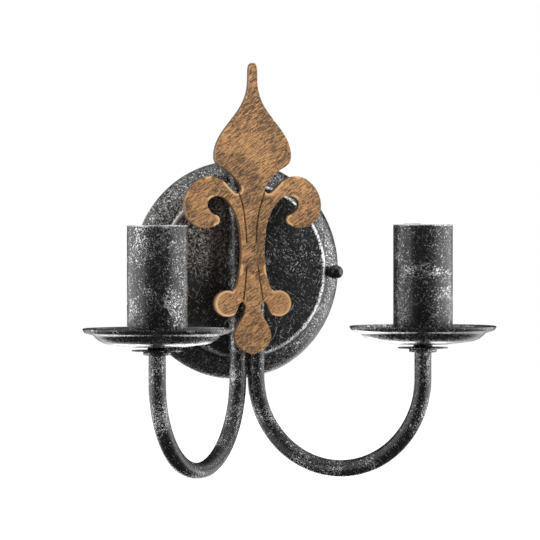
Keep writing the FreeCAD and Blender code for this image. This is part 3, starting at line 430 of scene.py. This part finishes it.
def thicken(shape, sheet, outward=None):
    """Give an open sheet its thickness, behind the side that faces outward.

    Outward is a direction, or away from the axis where none is given.
    """
    bmesh.ops.recalc_face_normals(shape, faces=shape.faces)
    facing = 0.0
    for face in shape.faces:
        middle = face.calc_center_median()
        away = outward or Vector((middle.x, middle.y, 0))
        facing += face.normal.dot(away) * face.calc_area()
    if facing < 0:
        bmesh.ops.reverse_faces(shape, faces=shape.faces)
    bmesh.ops.solidify(shape, geom=shape.faces, thickness=sheet * MM)


def soften_edges(shape, width, angle, segments=2):
    """Round every edge that turns by more than the angle, in degrees."""
    turning = [edge for edge in shape.edges
               if len(edge.link_faces) == 2 and edge.calc_face_angle(0) > math.radians(angle)]
    bevel_edges(shape, turning, width, segments)


def bevel_edges(shape, edges, width, segments):
    bmesh.ops.bevel(shape, geom=edges, offset=width * MM, affect="EDGES", segments=segments,
                    profile=0.5, material=-1, clamp_overlap=True)


def draw_out(shape, edges, rise, steps):
    """Draw a ring of edges upwards, or down if the rise is negative, and return the last ring."""
    for _ in range(steps):
        drawn = bmesh.ops.extrude_edge_only(shape, edges=edges)["geom"]
        verts = [item for item in drawn if isinstance(item, bmesh.types.BMVert)]
        edges = [item for item in drawn if isinstance(item, bmesh.types.BMEdge)
                 and all(vert in verts for vert in item.verts)]
        bmesh.ops.translate(shape, verts=verts, vec=(0, 0, rise * MM / steps))
    return edges


def cut_level(shape, spot, normal, reach, drop_above=False, drop_below=False):
    """Cut a shape on the plane through a spot, and drop what lies above or below it if told to."""
    bmesh.ops.bisect_plane(shape, geom=shape.verts[:] + shape.edges[:] + shape.faces[:], dist=reach,
                           plane_co=spot, plane_no=normal, clear_outer=drop_above,
                           clear_inner=drop_below)


def mark_wear_and_painted_light(shape, wear_and_painted_light):
    """Mark each point's share of extra flecks: wear, and painted highlights on bright rims. Below 0, it
    has fewer flecks, a painted shade.
    """
    layer = shape.verts.layers.float.new("wear_and_painted_light")
    for vert in shape.verts:
        vert[layer] = wear_and_painted_light(vert.co)


def turn_about(shape, angle, axis):
    """Turn a shape about an axis through the origin, in radians."""
    turn = Matrix.Rotation(angle, 3, axis)
    bmesh.ops.rotate(shape, verts=shape.verts, cent=(0, 0, 0), matrix=turn)


def move(shape, spot):
    bmesh.ops.translate(shape, verts=shape.verts, vec=spot)


def copy_of(node):
    """A clean copy of a frame node's mesh to work on."""
    shape = bmesh.new()
    shape.from_mesh(frame["nodes"][node].data)
    bmesh.ops.remove_doubles(shape, verts=shape.verts, dist=COPY_MERGE_REACH)
    bmesh.ops.dissolve_limit(shape, angle_limit=COPY_FLATNESS, verts=shape.verts, edges=shape.edges)
    return shape


def axis_foot(node):
    """The foot of a turned node's upright axis, in metres."""
    low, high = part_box(node)
    return Vector(((low.x + high.x) / 2, (low.y + high.y) / 2, low.z))


def turn_solid(node, name, slot, profile, steps):
    """Turn a closed profile on a node's axis and make it the piece for that node."""
    shape = bmesh.new()
    draw_profile(shape, profile)
    spin_round(shape, steps)
    move(shape, axis_foot(node))
    finish_piece(shape, name, slot, [node])


def turn_sheet(profile, closing, steps, sheet, easing, outward=None):
    """Turn an open profile into sheet metal with eased edges, on the origin's axis."""
    shape = bmesh.new()
    draw_profile(shape, profile, closing)
    spin_round(shape, steps)
    thicken(shape, sheet, outward)
    soften_edges(shape, easing, SHEET_EDGE_ANGLE)
    return shape


def arc_between(start, finish, radius, steps):
    """Points between two (radius, height) spots on an arc that bulges away from the axis."""
    start = Vector(start)
    finish = Vector(finish)
    chord = finish - start
    across = Vector((-chord.y, chord.x)).normalized()
    inset = math.sqrt(radius ** 2 - (chord.length / 2) ** 2)
    centre = (start + finish) / 2 - across * inset
    if centre.x > min(start.x, finish.x):
        centre = (start + finish) / 2 + across * inset
    first = math.atan2(start.y - centre.y, start.x - centre.x)
    last = math.atan2(finish.y - centre.y, finish.x - centre.x)
    angles = [first + (last - first) * step / steps for step in range(steps + 1)]
    return [(centre.x + radius * math.cos(angle), centre.y + radius * math.sin(angle))
            for angle in angles]


def unrounded(spots):
    """Profile corners without rounding at (radius, height) spots."""
    return [(radius, height, 0.0) for radius, height in spots]


# ---------------------------------------------------------------- wall canopy

CANOPY_SHEET = 1.2
CANOPY_STEPS = 192
CANOPY_EASING = 0.3
PLATEAU_RADIUS = 62.0
PLATEAU_ROUNDING = 0.9
STEP_RADIUS = 64.0
STEP_DROP = 2.1
STEP_ROUNDING = 0.35
RIM_BEND = 23.0
RIM_BEND_STEPS = 24
RIDGE_HIGHLIGHT_DROP = 0.8
RIDGE_HIGHLIGHT_WIDTH = 1.2
RIDGE_FADE = 2.0
RING_MARGIN = 1.0
RING_RUBBED = 0.20


def make_canopy():
    """Pressed canopy: a curved rim, a small step and a flat plateau, drawn upright and laid forward."""
    low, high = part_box("canopy")
    depth = -low.y / MM
    radius = high.x / MM

    def wear_and_painted_light(spot):
        away = math.hypot(spot.x, spot.y) / MM
        # The ridge along the plateau's edge gets full flecks, a painted highlight; the ring gets a few
        # more flecks.
        if spot.z > (depth - RIDGE_HIGHLIGHT_DROP) * MM and away > PLATEAU_RADIUS - RIDGE_HIGHLIGHT_WIDTH:
            return 1.0
        return RING_RUBBED if away > STEP_RADIUS + RING_MARGIN else 0.0

    rim = arc_between((radius, 0.0), (STEP_RADIUS, depth - STEP_DROP), RIM_BEND, RIM_BEND_STEPS)
    profile = unrounded(rim[:-1])
    profile.append((*rim[-1], STEP_ROUNDING))
    profile.append((PLATEAU_RADIUS, depth, PLATEAU_ROUNDING))
    profile += unrounded([(PLATEAU_RADIUS - RIDGE_FADE, depth), (0.0, depth)])
    shape = turn_sheet(profile, (0.0, 0.0), CANOPY_STEPS, CANOPY_SHEET, CANOPY_EASING, outward=UP)
    mark_wear_and_painted_light(shape, wear_and_painted_light)
    turn_about(shape, math.pi / 2, "X")
    finish_piece(shape, "canopy_shell", IRON, ["canopy"], sharp=60, finish="canopy_iron")


# ---------------------------------------------------------------- arms

TUBE_RADIUS = 6.0
TUBE_WALL = 1.0
TUBE_SIDES = 40
TUBE_DEPTH = 24.1
ARM_TURN = 45
LEG_X = 6.85
REAR_LEG_TOP = 70.0
REAR_LEG_STEPS = 24
BEND_LEVEL = -75.1
BEND_RADIUS = 65.15
BEND_STEPS = 72
FRONT_LEG_TOP = -56.8
FRONT_LEG_STEPS = 6
BEND_SHADE_LEVEL = -105.0
BEND_SHADE_FADE = 25.0
BEND_SHADE_SHARE = 0.18


def bend_shade(spot):
    """Fewer flecks towards the bottom of an arm's bend, a painted shade."""
    below = max(BEND_SHADE_LEVEL * MM - spot.z, 0.0)
    return -BEND_SHADE_SHARE * min(below / (BEND_SHADE_FADE * MM), 1.0)


def make_arm(side, sign):
    """One tube, drawn upright with its bend towards +X and then turned to its side."""
    shape = bmesh.new()
    ring = bmesh.ops.create_circle(shape, cap_ends=False, radius=TUBE_RADIUS * MM, segments=TUBE_SIDES)
    bmesh.ops.translate(shape, verts=ring["verts"], vec=(0, 0, REAR_LEG_TOP * MM))
    edges = draw_out(shape, shape.edges[:], BEND_LEVEL - REAR_LEG_TOP, REAR_LEG_STEPS)
    verts = list(dict.fromkeys(vert for edge in edges for vert in edge.verts))
    bent = bmesh.ops.spin(shape, geom=verts + edges, cent=(BEND_RADIUS * MM, 0, BEND_LEVEL * MM),
                          axis=(0, -1, 0), dvec=(0, 0, 0), angle=math.pi, steps=BEND_STEPS)
    edges = [item for item in bent["geom_last"] if isinstance(item, bmesh.types.BMEdge)]
    draw_out(shape, edges, FRONT_LEG_TOP - BEND_LEVEL, FRONT_LEG_STEPS)
    bmesh.ops.recalc_face_normals(shape, faces=shape.faces)
    first = next(iter(shape.faces))
    start = first.calc_center_median()
    if first.normal.dot(Vector((start.x, start.y, 0))) < 0:
        bmesh.ops.reverse_faces(shape, faces=shape.faces)
    bmesh.ops.solidify(shape, geom=shape.faces, thickness=TUBE_WALL * MM)
    # Fewer flecks low on the bend: painted shade.
    mark_wear_and_painted_light(shape, bend_shade)
    turn_about(shape, math.radians(ARM_TURN * sign - 90), "Z")
    move(shape, (sign * LEG_X * MM, -TUBE_DEPTH * MM, 0))
    finish_piece(shape, side + "_bent_arm", IRON, [side + "_arm_tube"], finish="tube_iron")


# ---------------------------------------------------------------- ornament

ORNAMENT_ROUNDING = 0.9
ORNAMENT_ROUNDING_STEPS = 4
GROOVE_ROUNDING = 0.25
GROOVE_ROUNDING_STEPS = 2
NET_SPACING = 1.2
RIM_SPACING = 0.5
FACE_REACH = 1e-5


def rim_points(edges):
    """Closely spaced points along edges."""
    points = []
    for edge in edges:
        first, last = (vert.co.copy() for vert in edge.verts)
        parts = max(1, int((last - first).length / (RIM_SPACING * MM)))
        points += [first.lerp(last, part / parts) for part in range(parts + 1)]
    return points


def cut_net(shape, low, high):
    """Cut upright and level lines through a plate, so that its points can hold a pattern."""
    step = NET_SPACING * MM
    for axis in (0, 2):
        normal = Vector((0, 0, 0))
        normal[axis] = 1
        for count in range(1, int((high[axis] - low[axis]) / step) + 1):
            level = Vector((0, 0, 0))
            level[axis] = low[axis] + count * step
            cut_level(shape, level, normal, MERGE_REACH)


def mark_edge_distance(shape, points):
    """Mark each point's way to the nearest of the rim's points, in millimetres."""
    tree = KDTree(len(points))
    for number, point in enumerate(points):
        tree.insert(point, number)
    tree.balance()
    layer = shape.verts.layers.float.new("edge_distance")
    for vert in shape.verts:
        vert[layer] = tree.find(vert.co)[2] / MM


def make_ornament():
    """The fleur-de-lis plate with rounded edges, and a fine net to hold each point's edge distance."""
    shape = copy_of("fleur_ornament")
    low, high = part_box("fleur_ornament")

    def turns_back(edge):
        on_face = all(abs(vert.co.y - low.y) < FACE_REACH for vert in edge.verts)
        return on_face and edge.calc_face_angle(0) > 1.0

    def reaches_back(edge):
        return any(vert.co.y > high.y - FACE_REACH for face in edge.link_faces for vert in face.verts)

    def face_edges(on_rim):
        return [edge for edge in shape.edges if turns_back(edge) and reaches_back(edge) == on_rim]

    points = rim_points(face_edges(True))
    bevel_edges(shape, face_edges(False), GROOVE_ROUNDING, GROOVE_ROUNDING_STEPS)
    bevel_edges(shape, face_edges(True), ORNAMENT_ROUNDING, ORNAMENT_ROUNDING_STEPS)
    cut_net(shape, low, high)
    mark_edge_distance(shape, points)
    finish_piece(shape, "fleur_de_lis", "copper_patina", ["fleur_ornament"], sharp=50)


# ---------------------------------------------------------------- pans, cups and their rings

HOLE_RADIUS = 5.0
COLLAR_PROFILE = [(HOLE_RADIUS, 0, 0.2), (9.8, 0, 1.2), (9.8, 2.8, 1.2), (HOLE_RADIUS, 2.8, 0.2)]
COLLAR_STEPS = 64
DISH_PROFILE = [(HOLE_RADIUS, 0, 0), (17.6, 0, 0.2), (17.6, 0.9, 0.2), (7.2, 0.9, 0.5),
                (6.3, 3.0, 0.4), (HOLE_RADIUS, 3.0, 0)]
DISH_STEPS = 96

PAN_SHEET = 1.0
PAN_STEPS = 160
PAN_EASING = 0.3
PAN_FLAT_RADIUS = 19.0
PAN_FLAT_ROUNDING = 3.0
PAN_WALL_FOOT = (34.0, 2.0)
PAN_WALL_BEND = 16.0
PAN_WALL_TOP = (44.3, 8.0)
PAN_LIP_FOOT = (50.2, 9.8)
PAN_LIP_BEND = 6.0
PAN_LIP_TOP = (52.0, 12.6)

CUP_SHEET = 0.9
CUP_STEPS = 128
CUP_EASING = 0.25
CUP_RADIUS = 21.0
CUP_CORNER = 13.0
CUP_HEIGHT = 83.4
CUP_RIM_FOOT = 82.7
CUP_HIGHLIGHT_LEVEL = 83.0


def make_pan(side):
    """Drip pan: a flat middle, a rising floor, a curved wall, a brim and an upturned lip."""
    wall = arc_between(PAN_WALL_FOOT, PAN_WALL_TOP, PAN_WALL_BEND, 8)
    lip = arc_between(PAN_LIP_FOOT, PAN_LIP_TOP, PAN_LIP_BEND, 6)
    profile = [(HOLE_RADIUS, 0, 0), (PAN_FLAT_RADIUS, 0, PAN_FLAT_ROUNDING), (*PAN_WALL_FOOT, 1.0)]
    profile += unrounded(wall[1:-1])
    profile += [(*PAN_WALL_TOP, 0.7), (*PAN_LIP_FOOT, 0.7)]
    profile += unrounded(lip[1:])
    closing = (HOLE_RADIUS, PAN_LIP_TOP[1])
    shape = turn_sheet(profile, closing, PAN_STEPS, PAN_SHEET, PAN_EASING, outward=-UP)
    move(shape, axis_foot(side + "_drip_pan"))
    finish_piece(shape, side + "_pan", IRON, [side + "_drip_pan"], sharp=50, finish="pan_iron")


def make_cup(side):
    """Tall cup with a round foot, its rim painted bright with flecks as a highlight."""
    corner = arc_between((CUP_RADIUS - CUP_CORNER, 0.0), (CUP_RADIUS, CUP_CORNER), CUP_CORNER, 12)
    wall = [(CUP_RADIUS, level) for level in (50.0, CUP_RIM_FOOT, CUP_HEIGHT)]
    profile = unrounded([(HOLE_RADIUS, 0), *corner, *wall])
    shape = turn_sheet(profile, (HOLE_RADIUS, CUP_HEIGHT), CUP_STEPS, CUP_SHEET, CUP_EASING)
    # Full flecks above this level are a painted highlight along the rim.
    mark_wear_and_painted_light(shape, lambda spot: float(spot.z > CUP_HIGHLIGHT_LEVEL * MM))
    move(shape, axis_foot(side + "_socket_cup"))
    finish_piece(shape, side + "_cup", IRON, [side + "_socket_cup"], sharp=50)


def make_stack(side):
    """Collar, dished washer, drip pan and cup on one arm's end."""
    turn_solid(side + "_collar_ring", side + "_collar", IRON, COLLAR_PROFILE, COLLAR_STEPS)
    turn_solid(side + "_dished_washer", side + "_dish", IRON, DISH_PROFILE, DISH_STEPS)
    make_pan(side)
    make_cup(side)


# ---------------------------------------------------------------- lampholders

SKIRT_PROFILE = [(17.8, 0, 0.2), (19.2, 0, 0.3), (19.2, 43.3, 0.6), (15.2, 43.3, 0.5),
                 (15.2, 41.3, 0.4), (17.8, 41.3, 0.6)]
SKIRT_STEPS = 96
THREAD_PITCH = 3.62
THREAD_DEPTH = 0.8
THREAD_WAVE_STEPS = 12
THREAD_TURN_STEPS = 48
SHELL_SHEET = 0.35
TAB_INSIDE = 17.9
TAB_OUTSIDE = 19.0
TAB_REACH = 2.0
TAB_START = 93
TAB_SPREAD = 41
TAB_STEPS = 16


def make_skirt(side):
    """White skirt with its inner lip."""
    node = side + "_lampholder_skirt"
    turn_solid(node, side + "_skirt", "holder_plastic", SKIRT_PROFILE, SKIRT_STEPS)


def make_screw_shell(side):
    """Screw shell rolled from thin sheet, with its thread as one rising wave, and even rims."""
    node = side + "_screw_shell"
    low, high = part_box(node)
    outer = (high.x - low.x) / 2 / MM
    length = (high.z - low.z) / MM
    turns = int(length / THREAD_PITCH) + 2
    middle = outer - THREAD_DEPTH / 2
    shape = bmesh.new()
    verts = []
    for number in range(THREAD_WAVE_STEPS + 1):
        wave = math.cos(math.tau * number / THREAD_WAVE_STEPS)
        height = (number / THREAD_WAVE_STEPS - 1) * THREAD_PITCH
        verts.append(shape.verts.new(((middle + wave * THREAD_DEPTH / 2) * MM, 0, height * MM)))
    edges = [shape.edges.new(pair) for pair in zip(verts, verts[1:])]
    bmesh.ops.spin(shape, geom=verts + edges, cent=(0, 0, 0), axis=(0, 0, 1),
                   dvec=(0, 0, THREAD_PITCH * MM / THREAD_TURN_STEPS), angle=math.tau * turns,
                   steps=THREAD_TURN_STEPS * turns)
    bmesh.ops.remove_doubles(shape, verts=shape.verts, dist=COPY_MERGE_REACH)
    cut_level(shape, (0, 0, 0), UP, 1e-7, drop_below=True)
    cut_level(shape, (0, 0, length * MM), UP, 1e-7, drop_above=True)
    thicken(shape, SHELL_SHEET)
    move(shape, axis_foot(node))
    finish_piece(shape, side + "_threaded_shell", "nickel_shell", [node], sharp=60)


def make_holder_tab():
    """Latch of the right lampholder's skirt, which stands just above the cup's far rim."""
    node = "right_lampholder_skirt"
    low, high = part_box(node)
    height = (high.z - low.z) / MM
    bottom = height - TAB_REACH
    top = height + TAB_REACH
    corners = [(TAB_INSIDE, bottom), (TAB_OUTSIDE, bottom), (TAB_OUTSIDE, top), (TAB_INSIDE, top)]
    shape = bmesh.new()
    verts = [shape.verts.new((radius * MM, 0, level * MM)) for radius, level in corners]
    face = shape.faces.new(verts)
    turn_about(shape, VIEW_TURN + math.radians(TAB_START), "Z")
    bmesh.ops.spin(shape, geom=[face], cent=(0, 0, 0), axis=(0, 0, 1), dvec=(0, 0, 0),
                   angle=math.radians(TAB_SPREAD), steps=TAB_STEPS)
    bmesh.ops.recalc_face_normals(shape, faces=shape.faces)
    soften_edges(shape, width=0.3, angle=60)
    move(shape, axis_foot(node))
    finish_piece(shape, "right_holder_tab", "holder_plastic", sharp=60)


# ---------------------------------------------------------------- bracket, plate, plugs and knobs

EASE_ANGLE = 40


def ease_node(node, name, slot, width, body=BODY, segments=2):
    """A node's own shape with its edges eased."""
    shape = copy_of(node)
    soften_edges(shape, width, EASE_ANGLE, segments)
    finish_piece(shape, name, slot, [node], body=body)


def make_knob(side):
    """Slotted knob screw on one side of the canopy's rim, which turns on its own."""
    ease_node("canopy_screw_" + side, side + "_rim_knob", "black_knob", width=0.22,
              body=side + "_rim_screw", segments=3)


def make_strap_parts():
    """Wall bracket, the arms' back plate and the plugs in the arms' rear ends."""
    ease_node("wall_bracket", "strap_bracket", "zinc_steel", width=0.25)
    ease_node("arm_back_plate", "arm_plate", IRON, width=0.25)
    for side in SIDES:
        ease_node(side + "_tube_plug", side + "_leg_plug", IRON, width=0.3, segments=3)


# ---------------------------------------------------------------- stage

WHITE = (1, 1, 1, 1)
ROOM_LIGHT = 0.32
BACKDROP_LIGHT = 1.0
FLOOR_COLOUR = (0.9, 0.9, 0.9, 1)
FLOOR_SIZE = 24.0
FLOOR_LEVEL = -0.6
FLOOR_GLOW = 0.95
FLOOR_CLEARANCE = 0.01
FLAG_COLOUR = (0.01, 0.01, 0.01, 1)
BACKDROP_RAYS = ("Is Camera Ray", "Is Glossy Ray", "Is Transmission Ray")
LIGHT_AIM = Vector((0, -0.06, 0))


def backdrop_seen(tree):
    """1 for the rays that see the backdrop itself, 0 for those that it lights."""
    path = tree.nodes.new("ShaderNodeLightPath")
    seen = path.outputs[BACKDROP_RAYS[0]]
    for kind in BACKDROP_RAYS[1:]:
        node = tree.nodes.new("ShaderNodeMath")
        node.operation = "MAXIMUM"
        tree.links.new(seen, node.inputs[0])
        tree.links.new(path.outputs[kind], node.inputs[1])
        seen = node.outputs[0]
    return seen


def add_world():
    """Soft light from all round, before a backdrop that looks white."""
    world = bpy.data.worlds.new("studio")
    bpy.context.scene.world = world
    world.use_nodes = True
    tree = world.node_tree
    room = tree.nodes["Background"]
    room.inputs["Color"].default_value = WHITE
    room.inputs["Strength"].default_value = ROOM_LIGHT
    backdrop = tree.nodes.new("ShaderNodeBackground")
    backdrop.inputs["Color"].default_value = WHITE
    backdrop.inputs["Strength"].default_value = BACKDROP_LIGHT
    mix = tree.nodes.new("ShaderNodeMixShader")
    tree.links.new(backdrop_seen(tree), mix.inputs[0])
    tree.links.new(room.outputs[0], mix.inputs[1])
    tree.links.new(backdrop.outputs[0], mix.inputs[2])
    tree.links.new(mix.outputs[0], tree.nodes["World Output"].inputs["Surface"])


def matt_finish(name, colour, roughness):
    """Plain finish without a sheen, for the stage."""
    finish = Finish(name)
    finish.put(finish.shader, {"Base Color": colour, "Roughness": roughness, "Specular IOR Level": 0.0})
    return finish


def add_sheet(name, width, height, finish):
    """Flat sheet of the stage that lies level on the origin."""
    shape = bmesh.new()
    bmesh.ops.create_grid(shape, x_segments=1, y_segments=1, size=0.5)
    bmesh.ops.scale(shape, verts=shape.verts, vec=(width, height, 1))
    mesh = bpy.data.meshes.new(name)
    shape.to_mesh(mesh)
    shape.free()
    mesh.materials.append(finish.material)
    sheet = bpy.data.objects.new(name, mesh)
    bpy.context.scene.collection.objects.link(sheet)
    return sheet


def add_floor():
    """Pale floor that takes the lamp's shadow and looks nearly white."""
    finish = matt_finish("white_floor", FLOOR_COLOUR, 0.9)
    glow = finish.add("ShaderNodeEmission")
    glow.inputs["Strength"].default_value = FLOOR_GLOW
    glowing = finish.add("ShaderNodeAddShader")
    mix = finish.add("ShaderNodeMixShader")
    finish.join(backdrop_seen(finish.tree), mix.inputs[0])
    finish.join(finish.shader.outputs[0], glowing.inputs[0])
    finish.join(glow.outputs[0], glowing.inputs[1])
    finish.join(finish.shader.outputs[0], mix.inputs[1])
    finish.join(glowing.outputs[0], mix.inputs[2])
    finish.join(mix.outputs[0], finish.tree.nodes["Material Output"].inputs["Surface"])
    floor = add_sheet("floor", FLOOR_SIZE, FLOOR_SIZE, finish)
    floor.location.z = FLOOR_LEVEL


def add_flag(name, turn, rise, distance, width, height):
    """Black card that only gloss sees, so that the lacquer stays dark between the softboxes."""
    flag = add_sheet(name, width, height, matt_finish(name, FLAG_COLOUR, 1.0))
    flag.location = from_camera(turn, rise) * distance
    flag.rotation_euler = (-flag.location).to_track_quat("-Z", "Y").to_euler()
    flag.visible_camera = False
    flag.visible_diffuse = False
    flag.visible_shadow = False
    flag.visible_transmission = False
    return flag


def add_softbox(name, turn, rise, distance, width, height, radiance, glossy=True, aim=LIGHT_AIM):
    """Flat light of an even brightness that faces its aim, in a direction counted from the camera."""
    light = bpy.data.lights.new(name, "AREA")
    light.shape = "RECTANGLE"
    light.size = width
    light.size_y = height
    light.energy = radiance * math.pi * width * height
    box = bpy.data.objects.new(name, light)
    bpy.context.scene.collection.objects.link(box)
    box.location = aim + from_camera(turn, rise) * distance
    box.rotation_euler = (aim - box.location).to_track_quat("-Z", "Y").to_euler()
    box.visible_camera = False
    box.visible_glossy = glossy
    return box


def lay_on_floor(sheet, tilt):
    """Lay a sheet or a light flat on the floor, square to the camera and tilted about its width."""
    sheet.location.z = FLOOR_LEVEL + FLOOR_CLEARANCE
    sheet.rotation_euler = (tilt, 0, VIEW_TURN)


def add_lights():
    """Softboxes beside and above, a fill in front, and a panel behind that lights the undersides."""
    add_softbox("left_softbox", turn=-88, rise=0, distance=0.9, width=1.5, height=1.5, radiance=2.0)
    add_softbox("right_softbox", turn=92, rise=0, distance=0.9, width=1.5, height=1.5, radiance=2.2)
    add_softbox("top_softbox", turn=0, rise=80, distance=1.2, width=1.2, height=0.8, radiance=1.0)
    add_softbox("front_fill", turn=0, rise=15, distance=2.2, width=1.8, height=1.4, radiance=0.8,
                glossy=False)
    panel = add_softbox("floor_panel", turn=180, rise=0, distance=1.475, width=0.5, height=1.65,
                        radiance=4.4, aim=Vector((0, 0, 0)))
    panel.visible_diffuse = False
    lay_on_floor(panel, math.pi)
    add_flag("front_flag", turn=4, rise=5, distance=1.5, width=3.2, height=2.6)
    add_flag("back_flag", turn=180, rise=16, distance=1.65, width=2.8, height=1.9)
    below = add_flag("floor_flag", turn=0, rise=0, distance=0.395, width=2.6, height=2.07)
    lay_on_floor(below, 0)


# ---------------------------------------------------------------- the whole lamp

for entry in frame["record"]["subparts"]:
    node = frame["nodes"][entry["node"]]
    node.data.materials.clear()
    node.data.materials.append(FINISHES[entry["material_slot"]])

add_camera()
make_canopy()
make_ornament()
for arm_side, arm_sign in SIDES.items():
    make_arm(arm_side, arm_sign)
    make_stack(arm_side)
    make_skirt(arm_side)
    make_screw_shell(arm_side)
    make_knob(arm_side)
make_holder_tab()
make_strap_parts()
add_world()
add_floor()
add_lights()

bpy.context.scene.view_settings.view_transform = "Standard"
